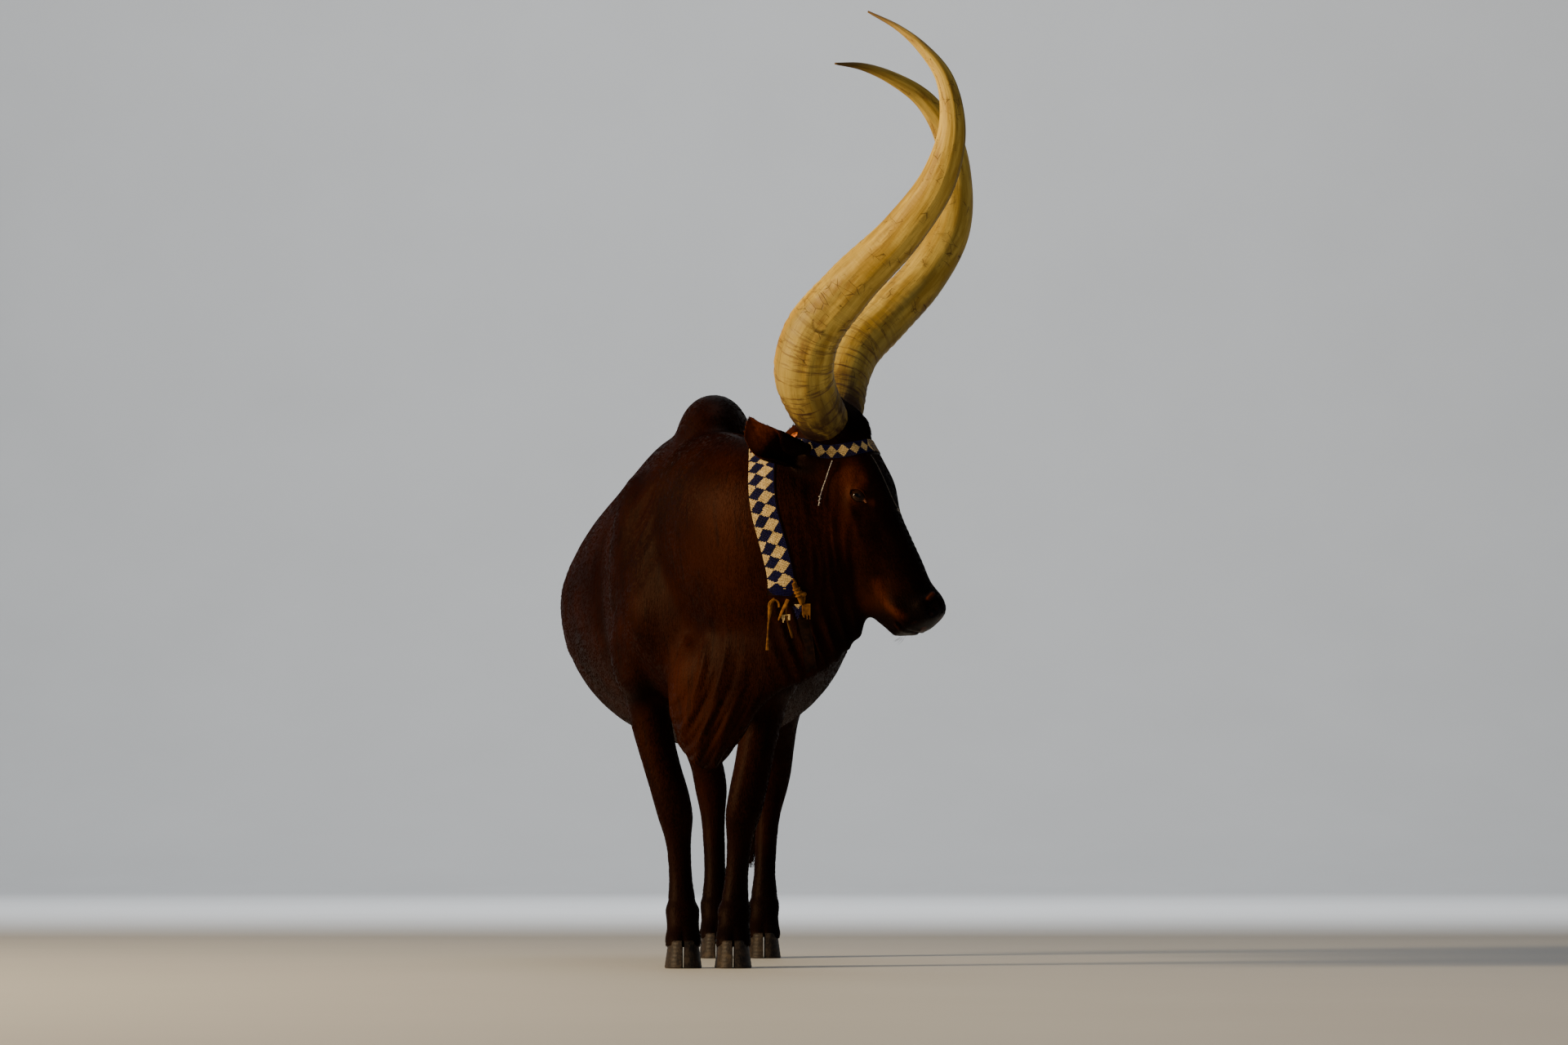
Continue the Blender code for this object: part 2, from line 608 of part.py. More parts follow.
def sculpt_head(points, normals):
    """Hollows, brow, lids, lips, nostrils and the line of the mouth."""
    local = in_head_frame(points)
    near = (np.abs(local[:, 1]) < 0.2) & (local[:, 0] > -0.15) & (local[:, 0] < 0.58) & (local[:, 2] > -0.34)
    some = local[near]
    push = np.zeros(len(some))
    for side in (1, -1):
        push += 0.006 * bump(some, (0.160, side * 0.105, -0.050), (0.040, 0.03, 0.022))
        push += 0.006 * bump(some, (0.205, side * 0.105, -0.120), (0.034, 0.03, 0.020))
        push -= 0.007 * bump(some, (0.105, side * 0.110, -0.095), (0.032, 0.05, 0.045))
        push -= 0.007 * bump(some, (0.290, side * 0.080, -0.080), (0.060, 0.05, 0.035))
        push -= 0.005 * bump(some, (0.380, side * 0.070, -0.120), (0.050, 0.05, 0.030))
        push += 0.005 * bump(some, (0.460, side * 0.065, -0.120), (0.045, 0.05, 0.024))
        nostril = ((0.462, side * 0.066, -0.034), (0.484, side * 0.066, -0.034),
                   (0.502, side * 0.060, -0.048), (0.506, side * 0.052, -0.062))
        push -= 0.013 * line_depth(some, nostril, 0.0085)
        mouth = ((0.430, side * 0.072, -0.168), (0.462, side * 0.074, -0.148),
                 (0.496, side * 0.062, -0.128), (0.522, side * 0.036, -0.108), (0.536, 0.0, -0.098))
        push -= 0.007 * line_depth(some, mouth, 0.0065)
    push += 0.006 * bump(some, (0.500, 0.0, -0.150), (0.035, 0.05, 0.020))
    points[near] += push[:, None] * normals[near]
    return points


def sculpt_body(points, normals):
    """Hollows between shoulder, ribs and thigh, and the main folds of neck and dewlap."""
    push = np.zeros(len(points))
    for side in (1, -1):
        push -= 0.012 * bump(points, (side * 0.27, -0.270, 0.900), (0.10, 0.055, 0.26))
        push -= 0.018 * bump(points, (0.02 + side * 0.26, 0.330, 1.120), (0.12, 0.10, 0.12))
        push -= 0.012 * bump(points, (side * 0.15, -0.640, 1.080), (0.10, 0.045, 0.16))
        push -= 0.010 * bump(points, (side * 0.22, -0.620, 0.760), (0.08, 0.050, 0.10))
    fold_window = bump(points, (0.24, -1.06, 0.95), (0.14, 0.12, 0.22))
    push += 0.005 * fold_window * np.sin((points[:, 0] + 0.25 * (points[:, 2] - 0.95)) * 2 * math.pi / 0.034)
    front_window = bump(points, (0.01, -0.86, 0.66), (0.13, 0.14, 0.22))
    push += 0.007 * front_window * np.sin((points[:, 0] - 0.20 * (points[:, 2] - 0.60)) * 2 * math.pi / 0.052)
    return points + push[:, None] * normals


def shape_flesh(body):
    """Blends the masses, sculpts them and brings the mesh down to few triangles."""
    mesh = body.data
    edges = edge_ends(mesh)
    points = coordinates(mesh)
    local = in_head_frame(points)
    off_head = np.clip((-0.14 - local[:, 2]) / 0.12, 0, 1)
    off_head = np.maximum(off_head, np.clip((0.10 - points[:, 0]) / 0.1, 0, 1))
    up = np.clip((points[:, 2] - 0.42) / 0.20, 0, 1)
    slack = np.clip((0.80 - points[:, 1]) / 0.08, 0.1, 1)
    weight = 0.6 * np.clip(off_head * up * slack, LEAST_BLEND, 1)
    points = relax(points, edges, weight, 60)
    mesh.vertices.foreach_set("co", points.ravel())
    mesh.update()
    normals = np.empty(len(points) * 3)
    mesh.vertex_normals.foreach_get("vector", normals)
    normals = normals.reshape(-1, 3)
    points = sculpt_body(points, normals)
    points = sculpt_head(points, normals)
    points = relax(points, edges, np.full(len(points), 0.3), 2)
    mesh.vertices.foreach_set("co", points.ravel())
    mesh.update()
    fewer = body.modifiers.new("fewer", "DECIMATE")
    fewer.ratio = FLESH_TRIANGLES / (2 * len(mesh.polygons))
    settle(body)


# Horns, eyes, ears and hooves

def eye(name, side):
    shape = bmesh.new()
    bmesh.ops.create_uvsphere(shape, u_segments=12, v_segments=8, radius=EYE_RADIUS)
    mesh = bpy.data.meshes.new(name)
    shape.to_mesh(mesh)
    shape.free()
    forward, right, front = EYE_PLACE
    mesh.transform(Matrix.Translation(Vector(head_point((forward, side * right, front)))))
    made = bpy.data.objects.new(name, mesh)
    bpy.context.scene.collection.objects.link(made)
    return made


def lid_opening(side):
    """A lens-shaped prism from inside the eyeball outwards."""
    forward, right, front = EYE_PLACE
    long_way = math.cos(EYE_TILT) * TO_MUZZLE + math.sin(EYE_TILT) * TO_FRONT
    high_way = -math.sin(EYE_TILT) * TO_MUZZLE + math.cos(EYE_TILT) * TO_FRONT
    rings = []
    for reach in (0.008, 0.080):
        centre = head_point((forward, side * (right + reach), front))
        turn = np.linspace(0.0, 2 * math.pi, 14, endpoint=False)[:, None]
        across = np.cos(turn) * EYE_OPENING[0]
        high = np.sign(np.sin(turn)) * np.abs(np.sin(turn)) ** 1.5 * EYE_OPENING[1]
        rings.append(centre + across * long_way + high * high_way)
    return loft("opening", rings)


def ear(name, cup, rows):
    """A cupped leaf with a thick root, swept along its middle line."""
    rows = along(rows, 12)
    spread = np.linspace(-1, 1, 7)
    rings = []
    for k, row in enumerate(rows):
        t = k / (len(rows) - 1)
        axis = unit(rows[min(k + 1, len(rows) - 1), :3] - rows[max(k - 1, 0), :3])
        face = unit(np.array(cup) - axis * (np.array(cup) @ axis))
        wide = np.cross(axis, face)
        half = max(row[3], 0.0025)
        fold = (0.80 - 0.55 * t) * half
        thick = 0.0042 + 0.012 * (1 - t) ** 3
        bend = -0.012 * math.sin(math.pi * t)
        inner = [row[:3] + s * half * wide + (fold * s * s + bend) * face for s in spread]
        outer = [p - (thick * (1.15 - 0.5 * abs(s))) * face for p, s in zip(inner, spread)]
        rings.append(np.array(inner + outer[::-1]))
    return loft(name, rings)


def claw(name, x, y, outward):
    """One half of a cloven hoof, flat below; outward is -1 or 1 along X."""
    turn = np.linspace(-math.pi / 2, math.pi / 2, 7)
    outline = [(0.0035 + 0.042 * max(math.cos(a), 0.0) ** 0.75, 0.056 * math.sin(a) * (1.0 + 0.12 * math.sin(a)))
               for a in turn]
    outline += [(0.0032, 0.026), (0.0030, -0.022)]
    rings = []
    levels = ((0.0, 0.975, 0.0), (0.004, 1.0, 0.0), (0.030, 0.93, 0.006), (0.064, 0.80, 0.014))
    for height, size, back in levels:
        ring = []
        for across, forward in outline:
            across = 0.0030 + (across - 0.0030) * size
            ring.append((x + outward * across, y - forward * size + back, height))
        rings.append(np.array(ring))
    return loft(name, rings)


def dewclaw(name, x, y, z, outward):
    rows = ((x, y - 0.014, z + 0.012, 0.0110), (x + 0.001 * outward, y - 0.002, z + 0.004, 0.0125),
            (x + 0.002 * outward, y + 0.006, z - 0.008, 0.0105), (x + 0.003 * outward, y + 0.008, z - 0.018, 0.0060))
    return sweep(name, rows, 8)


def feet():
    """Name, builder and place of every claw and dewclaw."""
    listed = []
    for leg, rows in (("fore", FORELEG_ROWS), ("hind", HINDLEG_ROWS)):
        sole, fetlock = rows[-1], rows[-4]
        for side, column in (("right", 1), ("left", 2)):
            for half, outward in (("a", -1), ("b", 1)):
                listed.append((f"hoof_{leg}_{side}_{half}", claw, (sole[column], sole[3] - 0.006, outward)))
                place = (fetlock[column] + outward * 0.024, fetlock[3] + fetlock[6] - 0.006, 0.118, outward)
                listed.append((f"dewclaw_{leg}_{side}_{half}", dewclaw, place))
    return listed


# Bands laid on the skin

def band(name, tree, route, width, closed):
    """A flat strap that follows the skin under a route; an open one ends in a narrow tail."""
    route = np.asarray(route, float)
    count = 40 if closed else 62
    if closed:
        dense = along(np.concatenate([route[-3:], route, route[:3]]), count * 8)
        start = np.argmin(np.linalg.norm(dense[: len(dense) // 2] - route[0], axis=1))
        later = start + 20 + np.argmin(np.linalg.norm(dense[start + 20:] - route[0], axis=1))
        line = dense[np.linspace(start, later, count, endpoint=False).astype(int)]
    else:
        line = along(route, count)
    for _ in range(3):
        found = [tree.find_nearest(Vector(p)) for p in line]
        line = np.array([f[0][:] for f in found])
        before, after = np.roll(line, 1, axis=0), np.roll(line, -1, axis=0)
        blend = 0.5 * line + 0.25 * (before + after)
        if not closed:
            blend[0], blend[-1] = line[0], line[-1]
        line = blend
    normals = np.array([tree.find_nearest(Vector(p))[1][:] for p in line])
    for _ in range(4):
        normals = normals + 0.5 * (np.roll(normals, 1, axis=0) + np.roll(normals, -1, axis=0))
        normals /= np.linalg.norm(normals, axis=1)[:, None]
    sides, shares = [], np.linspace(-0.5, 0.5, 4)
    lifts = np.zeros((count, len(shares)))
    for k, place in enumerate(line):
        ahead = line[(k + 1) % count] - line[k - 1] if closed else (
            line[min(k + 1, count - 1)] - line[max(k - 1, 0)])
        narrowing = 1.0 if closed else 1.0 - 0.58 * min(max((k / count - TAIL_STARTS) / 0.06, 0.0), 1.0)
        sides.append(unit(np.cross(normals[k], unit(ahead))) * width * narrowing)
        for m, share in enumerate(shares):
            spot = place + sides[k] * share
            met = tree.ray_cast(Vector(spot + 0.04 * normals[k]), Vector(-normals[k]), 0.08)[0]
            lifts[k, m] = (np.array(met) - spot) @ normals[k] if met else -0.01
    lifts = np.clip(lifts, -0.020, 0.008)
    for _ in range(3):
        lifts = 0.5 * lifts + 0.25 * (np.roll(lifts, 1, axis=0) + np.roll(lifts, -1, axis=0))
    rings = []
    for place, side, normal, lift in zip(line, sides, normals, lifts):
        middle = [place + side * share + normal * rise for share, rise in zip(shares, lift)]
        lower = [spot - normal * BAND_SINK for spot in middle]
        upper = [spot + normal * (BAND_THICKNESS - BAND_SINK) for spot in middle]
        rings.append(np.array(lower + upper[::-1]))
    return loft(name, rings, closed)


def headband_route():
    """The whole ring from the half given for the right side."""
    right = [head_point(p) for p in HEADBAND_ROUTE]
    left = [head_point((f, -r, d)) for f, r, d in HEADBAND_ROUTE[-2:0:-1]]
    return right + left


def cord_tube(name, route, diameter):
    """A free string as a curve with filled caps."""
    length = sum(math.dist(a, b) for a, b in zip(route, route[1:]))
    count = max(6, int(length / (2.5 * diameter)))
    points = along(route, count)
    data = bpy.data.curves.new(name, "CURVE")
    data.dimensions = "3D"
    data.bevel_depth = diameter / 2
    data.bevel_resolution = 2
    data.use_fill_caps = True
    spline = data.splines.new("POLY")
    spline.points.add(len(points) - 1)
    for point, place in zip(spline.points, points):
        point.co = (*place, 1.0)
    made = bpy.data.objects.new(name, data)
    bpy.context.scene.collection.objects.link(made)
    return made


# Tail switch

def lock(root, tip, width, thick, sway, steps=4):
    """One flat tapered lock that bends from root to tip."""
    root, tip, sway = np.array(root), np.array(tip), np.array(sway)
    rings = []
    for t in np.linspace(0.0, 1.0, steps):
        centre = root + t * (tip - root) + sway * math.sin(math.pi * t)
        ahead = unit(tip - root + sway * math.pi * math.cos(math.pi * t))
        side = unit(np.cross(ahead, (0.2, 1.0, 0.1)))
        flat = np.cross(ahead, side)
        half = width * (1 - 0.85 * t**1.5)
        deep = thick * (1 - 0.7 * t)
        rings.append(np.array([centre + half * side, centre + deep * flat,
                               centre - half * side, centre - deep * flat]))
    return loft("lock", rings)


def tail_switch():
    """The tuft at the tail's end: a slim core with overlapping locks out to their tips."""
    draw = random.Random(SEED)
    x, y, top = SWITCH_TOP
    core_rows = ((x, y, top, 0.019), (x, y, top - 0.05, 0.026), (x, y, top - 0.12, 0.027),
                 (x, y, top - 0.18, 0.018), (x, y, top - 0.22, 0.008))
    core = sweep("tail_switch", core_rows, 10, 9)
    locks = []
    for tier, (drop, length, count) in enumerate(((0.035, 0.15, 5), (0.085, 0.19, 5), (0.14, 0.15, 3))):
        for k in range(count):
            angle = 2 * math.pi * (k + 0.5 * tier) / count + draw.uniform(-0.2, 0.2)
            out = np.array([math.cos(angle), math.sin(angle), 0.0])
            root = np.array([x, y, top - drop]) + 0.014 * out
            reach = min(length * draw.uniform(0.85, 1.1), top - drop - SWITCH_BOTTOM)
            tip = np.array([x, y, top - drop - reach]) + out * draw.uniform(0.018, 0.040)
            locks.append(lock(root, tip, 0.017, 0.0050, 0.014 * out))
    boolean(core, locks, "UNION")
    keep_only(core, islands(core.data)[0])
    return core


# Assembly

def strap_tie():
    """Leather knot that closes the neck strap, between its two ends."""
    return sweep("strap_knot", KNOT_ROWS, 10, 9)


def ear_tag(ear_thing):
    """A small round tag on the back of an ear, laid on the surface that is met from the front."""
    tree = BVHTree.FromObject(ear_thing, bpy.context.evaluated_depsgraph_get())
    met, normal = tree.ray_cast(Vector((TAG_PLACE[0], -2.0, TAG_PLACE[1])), Vector((0.0, 1.0, 0.0)))[:2]
    normal = unit(normal)
    side = unit(np.cross(normal, (0.0, 0.0, 1.0)))
    over = np.cross(normal, side)
    turn = np.linspace(0.0, 2 * math.pi, 12, endpoint=False)[:, None]
    rings = []
    for lift, share in ((0.0019, 0.96), (0.0033, 1.0), (0.0045, 0.92)):
        rings.append(np.array(met) + lift * normal + share * TAG_RADIUS * (np.cos(turn) * side + np.sin(turn) * over))
    return loft("ear_tag", rings)


def swollen(thing):
    """A cutter: the same shape a little larger on every side."""
    made = thing.copy()
    made.data = thing.data.copy()
    bpy.context.scene.collection.objects.link(made)
    normals = np.empty(len(made.data.vertices) * 3)
    made.data.vertex_normals.foreach_get("vector", normals)
    seat = BAND_SEAT if thing.name in ("headband", "neck_strap") else SEAT
    points = coordinates(made.data) + seat * normals.reshape(-1, 3)
    made.data.vertices.foreach_set("co", points.ravel())
    made.data.update()
    return made


def carve(thing, hard):
    """Makes room in a piece for the hard pieces that sit in it."""
    boolean(thing, [swollen(other) for other in hard], "DIFFERENCE")
    keep_only(thing, islands(thing.data)[0])


def hard_pieces(tree):
    """Everything that sits in or on the flesh; the later ones make room for the earlier ones."""
    made = [sweep("horn_right", NEAR_HORN_ROWS, 12, 25), sweep("horn_left", FAR_HORN_ROWS, 12, 25)]
    made += [ear("ear_right", *RIGHT_EAR), ear("ear_left", *LEFT_EAR)]
    for name, route, width, closed in (("headband", headband_route(), HEADBAND_WIDTH, True),
                                       ("neck_strap", STRAP_ROUTE, STRAP_WIDTH, False)):
        strap = band(name, tree, route, width, closed)
        carve(strap, made)
        made.append(strap)
    made += [eye("eye_right", 1), eye("eye_left", -1)]
    made += [build(name, *place) for name, build, place in feet()]
    return made


def cut_flesh(body):
    """Parts the one flesh body into the named parts of a bull."""
    side = (1.0, 0.0, 0.0)
    named = [part_off(body, slab("cut", DEWLAP_CUT[0], DEWLAP_CUT[1], side, (0.60, 0.48)),
                      "dewlap", (0.0, -0.80, 0.50))]
    for label, column, sign in (("right", 1, -1), ("left", 2, 1)):
        x = FORELEG_ROWS[3][column]
        named.append(part_off(body, slab("cut", (x, -0.495, 0.598), (-0.35 * sign, 0.0, 1.0), side, (0.26, 0.24)),
                              f"foreleg_{label}", (x, -0.50, 0.45)))
        x = HINDLEG_ROWS[4][column] + 0.005 * sign
        named.append(part_off(body, slab("cut", (x, 0.560, 0.640), (-0.20 * sign, -0.25, 1.0), side, (0.152, 0.30)),
                              f"hindleg_{label}", (x + 0.02, 0.62, 0.45)))
    named.append(part_off(body, slab("cut", (0.018, -0.460, 1.350), (0.0, 0.0, 1.0), side, (0.5, 0.70)),
                          "hump", (0.018, -0.46, 1.40)))
    named.append(part_off(body, slab("cut", (0.090, 0.892, 0.990), (0.0, 0.0, 1.0), side, (0.12, 0.10)),
                          "tail", (0.10, 0.898, 0.80)))
    named.append(part_off(body, slab("cut", (0.075, 0.475, 0.662), (0.0, -0.5, 1.0), side, (0.090, 0.13)),
                          "scrotum", (0.075, 0.472, 0.60)))
    named.append(part_off(body, slab("cut", (-0.010, 0.125, 0.543), (0.0, 0.0, 1.0), side, (0.14, 0.32)),
                          "sheath", (-0.012, 0.06, 0.51)))
    neck = part_off(body, slab("cut", NECK_CUT[0], NECK_CUT[1], side, (0.9, 1.3)), "neck", (0.2, -0.97, 1.08))
    head_middle = head_point((0.20, 0.0, -HEAD_CUT))
    named.append(part_off(neck, slab("cut", head_middle, TO_FRONT, TO_RIGHT, (0.5, 1.0)),
                          "head", head_point((0.4, 0.0, -0.1))))
    return [body, neck, *named]


def finish_surface(thing, look):
    thing.data.materials.clear()
    thing.data.materials.append(look)
    if thing.type == "MESH":
        thing.data.shade_smooth()
        thing.data.set_sharp_from_angle(angle=math.radians(40))


def centre_on_floor(things):
    """Shifts every piece so that the origin is the middle of the box's floor."""
    low, high = np.full(3, 1e9), np.full(3, -1e9)
    for thing in things:
        if thing.type == "MESH":
            points = coordinates(thing.data)
            low, high = np.minimum(low, points.min(axis=0)), np.maximum(high, points.max(axis=0))
    shift = Matrix.Translation((-(low[0] + high[0]) / 2, -(low[1] + high[1]) / 2, -low[2]))
    for thing in things:
        thing.data.transform(shift)


def main():
    clear_scene()
    body = flesh_mass()
    shape_flesh(body)
    tree = BVHTree.FromObject(body, bpy.context.evaluated_depsgraph_get())
    made = hard_pieces(tree)
    carve(body, made)
    boolean(body, [lid_opening(1), lid_opening(-1)], "DIFFERENCE")
    flesh = cut_flesh(body)
    made.append(ear_tag(next(thing for thing in made if thing.name == "ear_left")))
    switch = tail_switch()
    carve(next(thing for thing in flesh if thing.name == "tail"), [switch])
    cords = [cord_tube("thong_long", THONG_LONG, THONG_DIAMETER),
             cord_tube("thong_wide", THONG_WIDE, THONG_DIAMETER),
             cord_tube("thong_short", THONG_SHORT, THONG_DIAMETER),
             cord_tube("cheek_string", CHEEK_STRING, STRING_DIAMETER),
             cord_tube("brow_string", BROW_STRING, STRING_DIAMETER)]
    knot = strap_tie()
    hide = material("hide", (0.055, 0.018, 0.010), 0.55)
    keratin = material("horn", (0.55, 0.42, 0.22), 0.40)
    dark_horn = material("hoof", (0.035, 0.028, 0.024), 0.50)
    plastic = material("ear_tag", (0.750, 0.210, 0.030), 0.45)
    glassy = material("eye", (0.010, 0.007, 0.006), 0.08)
    beads = material("beadwork", (0.030, 0.030, 0.160), 0.40)
    leather = material("leather", (0.320, 0.150, 0.055), 0.60)
    white = material("bead_string", (0.700, 0.680, 0.600), 0.40)
    for thing in flesh + [switch]:
        finish_surface(thing, hide)
    looks = (("horn", keratin), ("eye", glassy), ("ear_tag", plastic), ("ear", hide), ("hoof", dark_horn), ("dewclaw", dark_horn),
             ("headband", beads), ("neck_strap", beads), ("strap_knot", leather), ("thong", leather),
             ("cheek_string", white), ("brow_string", white))
    for thing in made + cords + [knot]:
        look = next(value for key, value in looks if thing.name.startswith(key))
        finish_surface(thing, look)
    centre_on_floor(flesh + made + cords + [switch, knot])


main()
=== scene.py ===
"""Life-size standing Ankole-Watusi bull with its head turned aside, headband and neck strap of beads.

Sizes are in metres in the maker's frame: +X to the bull's left, +Y towards its tail, +Z up.
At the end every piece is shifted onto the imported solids.
"""

import math

import bpy
import numpy as np
from mathutils import Matrix, Vector
from mathutils.bvhtree import BVHTree


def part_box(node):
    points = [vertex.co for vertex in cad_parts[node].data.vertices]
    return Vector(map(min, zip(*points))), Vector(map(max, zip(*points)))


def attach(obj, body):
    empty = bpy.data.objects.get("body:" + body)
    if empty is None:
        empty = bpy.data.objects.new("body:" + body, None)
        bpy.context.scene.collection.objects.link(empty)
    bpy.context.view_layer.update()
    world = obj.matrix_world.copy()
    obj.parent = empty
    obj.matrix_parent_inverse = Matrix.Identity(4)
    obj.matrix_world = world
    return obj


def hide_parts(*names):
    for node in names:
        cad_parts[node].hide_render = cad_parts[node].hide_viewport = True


# Driving sizes: the remesh's voxel, the coat's depth and the share of faces kept on the body
VOXEL = 0.005
COAT = 0.0018
SEED = 11
RING_POINTS = 40
BODY_SHARE = 0.17

# The head frame: its origin and its directions to the muzzle, to the bull's right and to the front
POLL = np.array([0.375, -1.020, 1.318])
TO_MUZZLE = np.array([0.401, -0.071, -0.914])
TO_RIGHT = np.array([-0.174, -0.985, 0.0])
TO_FRONT = np.array([0.900, -0.159, 0.407])

EYE_RADIUS = 0.0205
EYE_PLACE = (0.184, 0.0995, -0.088)
EYE_TILT = math.radians(32)
EYE_OPENING = (0.0195, 0.0132)

# Marks on the flank of the muzzle: distance to the muzzle and to the front
FLANK = 0.066
NOSTRIL = ((0.480, -0.031), (0.491, -0.031), (0.499, -0.037), (0.503, -0.047))
NOSTRIL_RIM = ((0.476, -0.0165), (0.492, -0.0145), (0.509, -0.0165), (0.521, -0.030))
NOSTRIL_WING = ((0.460, -0.029), (0.467, -0.040))
NOSTRIL_PAD = ((0.494, -0.060), (0.508, -0.066))
LIP_BAND = ((0.385, -0.137), (0.438, -0.136), (0.480, -0.115))

MOUTH = ((0.424, 0.070, -0.172), (0.444, 0.074, -0.160), (0.470, 0.072, -0.144),
         (0.498, 0.060, -0.128), (0.522, 0.036, -0.108), (0.536, 0.0, -0.098))
UPPER_LIP = tuple((f + 0.004, r, d + 0.014) for f, r, d in MOUTH[1:-1])
LOWER_LIP = tuple((f - 0.006, r, d - 0.012) for f, r, d in MOUTH[1:-1])
UNDER_LIP = ((0.440, 0.074, -0.176), (0.468, 0.072, -0.160), (0.500, 0.056, -0.138))

# Lines of the face on its right side: how far each stands out, its width and its route
MUZZLE_LINES = (
    (0.0042, 0.0070, NOSTRIL_RIM),
    (0.0058, 0.0085, NOSTRIL_WING),
    (0.0022, 0.0120, NOSTRIL_PAD),
    (-0.0175, 0.0080, NOSTRIL),
)
FACE_LINES = (
    (-0.0080, 0.0055, MOUTH),
    (0.0030, 0.0110, UPPER_LIP),
    (0.0026, 0.0100, LOWER_LIP),
    (-0.0030, 0.0055, ((0.206, 0.104, -0.068), (0.225, 0.098, -0.064), (0.250, 0.092, -0.066))),
    (0.0040, 0.0160, ((0.215, 0.104, -0.118), (0.265, 0.096, -0.130), (0.315, 0.084, -0.128))),
    (0.0040, 0.0220, ((0.120, 0.100, -0.215), (0.200, 0.092, -0.226), (0.280, 0.070, -0.214))),
    (0.0014, 0.0050, ((0.270, 0.095, -0.110), (0.310, 0.088, -0.150), (0.345, 0.074, -0.172))),
    (0.0030, 0.0160, ((0.260, 0.050, -0.020), (0.340, 0.044, -0.022), (0.420, 0.044, -0.024))),
)
# Swells of the head on its right side: how far each stands out, its centre and its radii
HEAD_SWELLS = (
    (0.006, (0.160, 0.105, -0.050), (0.040, 0.03, 0.022)),
    (0.006, (0.205, 0.105, -0.120), (0.034, 0.03, 0.020)),
    (-0.007, (0.105, 0.110, -0.095), (0.032, 0.05, 0.045)),
    (-0.007, (0.290, 0.080, -0.080), (0.060, 0.05, 0.035)),
    (-0.005, (0.380, 0.070, -0.120), (0.050, 0.05, 0.030)),
    (0.005, (0.460, 0.065, -0.120), (0.045, 0.05, 0.024)),
)
# Hollows of the body: depth, centre and radii, where a centre is the middle there, then side, y, z
BODY_SWELLS = (
    (-0.012, (0.0, 0.27, -0.27, 0.90), (0.10, 0.055, 0.26)),
    (-0.018, (0.02, 0.26, 0.33, 1.12), (0.12, 0.10, 0.12)),
    (-0.012, (0.0, 0.15, -0.64, 1.08), (0.10, 0.045, 0.16)),
    (-0.010, (0.0, 0.22, -0.62, 0.76), (0.08, 0.050, 0.10)),
)
# Shoulder blade, elbow, flank and stifle: how far each stands out, its width and its route
BODY_LINES = (
    (0.006, 0.040, ((0.0, 0.235, -0.46, 1.20), (0.0, 0.268, -0.40, 1.02), (0.0, 0.262, -0.40, 0.86))),
    (-0.006, 0.026, ((0.0, 0.225, -0.56, 0.90), (0.0, 0.222, -0.50, 0.80), (0.0, 0.205, -0.43, 0.72))),
    (-0.007, 0.030, ((0.03, 0.30, 0.38, 1.00), (0.03, 0.29, 0.33, 0.86), (0.02, 0.25, 0.28, 0.70))),
    (-0.005, 0.030, ((0.055, 0.215, 0.46, 0.92), (0.055, 0.205, 0.52, 0.80), (0.06, 0.165, 0.60, 0.68))),
)
# Warmer hair on the face's right side and on the body: share, centre and radii
WARM_FACE = (
    (1.0, (0.150, 0.11, -0.090), (0.075, 0.08, 0.050)),
    (1.9, (0.211, 0.11, -0.066), (0.014, 0.05, 0.013)),
    (0.40, (0.235, 0.10, -0.165), (0.120, 0.08, 0.080)),
    (0.55, (0.440, 0.07, -0.145), (0.060, 0.06, 0.032)),
)
WARM_BODY = (
    (0.55, (-0.08, -0.90, 0.66), (0.12, 0.20, 0.16)),
    (0.35, (0.05, -1.05, 1.02), (0.12, 0.20, 0.30)),
    (0.30, (0.05, 0.10, 0.60), (0.30, 0.60, 0.14)),
)
RIBS = 6
RIB_PITCH = 0.085
RIB_LINE = ((0.33, -0.10, 1.16), (0.375, -0.14, 0.98), (0.36, -0.13, 0.80))

HEADBAND_WIDTH = 0.034
STRAP_WIDTH = 0.066
BAND_THICKNESS = 0.0050
BAND_SINK = 0.002
TAIL_STARTS = 0.70

# Beadwork: where each pattern starts, its pitches, and the bead's own pitch
STRAP_PATTERN_START = 0.0376
STRAP_NAVY_END = 0.019
LOZENGE_WIDTH = 0.021
LOZENGE_PITCH = 0.0335
DIAMOND_PITCH = 0.0275
STRIPES_REACH = 0.055
STRIPE_PITCH = 0.0110
STRIPE_WIDTH = 0.0030
BEAD_PITCH = 0.00275

TUFT_PATCH = 0.003
TUFT_COUNTS = (("coat_right", 45000), ("coat_left", 45000), ("coat_neck", 42000),
               ("coat_legs", 30000), ("coat_head", 46000))
SWITCH_LOCKS = 620
EAR_NEAR = 0.065
GRAIN_RADIUS = 0.055

# The view, and the light: spot, target, size, power and colour of each lamp
CAMERA_SPOT = (0.0, -12.3, 0.28)
CAMERA_LENS = 110.0
CAMERA_TURN = math.atan(93 / 5867)
CAMERA_RISE = math.atan(405 / 5867)
WORLD_COLOUR = (0.78, 0.84, 0.92)
WORLD_STRENGTH = 0.15
LIGHTS = (
    ("key", (-9.0, -3.6, 3.4), (0.1, -0.6, 1.1), 2.4, 1700.0, (1.0, 0.76, 0.44)),
    ("fill", (1.5, -11.0, 3.4), (0.1, -0.6, 1.1), 6.0, 60.0, (1.0, 0.93, 0.84)),
    ("top", (0.5, 0.5, 6.5), (0.1, -0.6, 1.1), 4.0, 50.0, (1.0, 0.97, 0.92)),
    ("backdrop", (0.0, 9.0, 12.0), (0.0, 26.0, 5.0), 12.0, 3800.0, (0.86, 0.92, 1.0)),
)

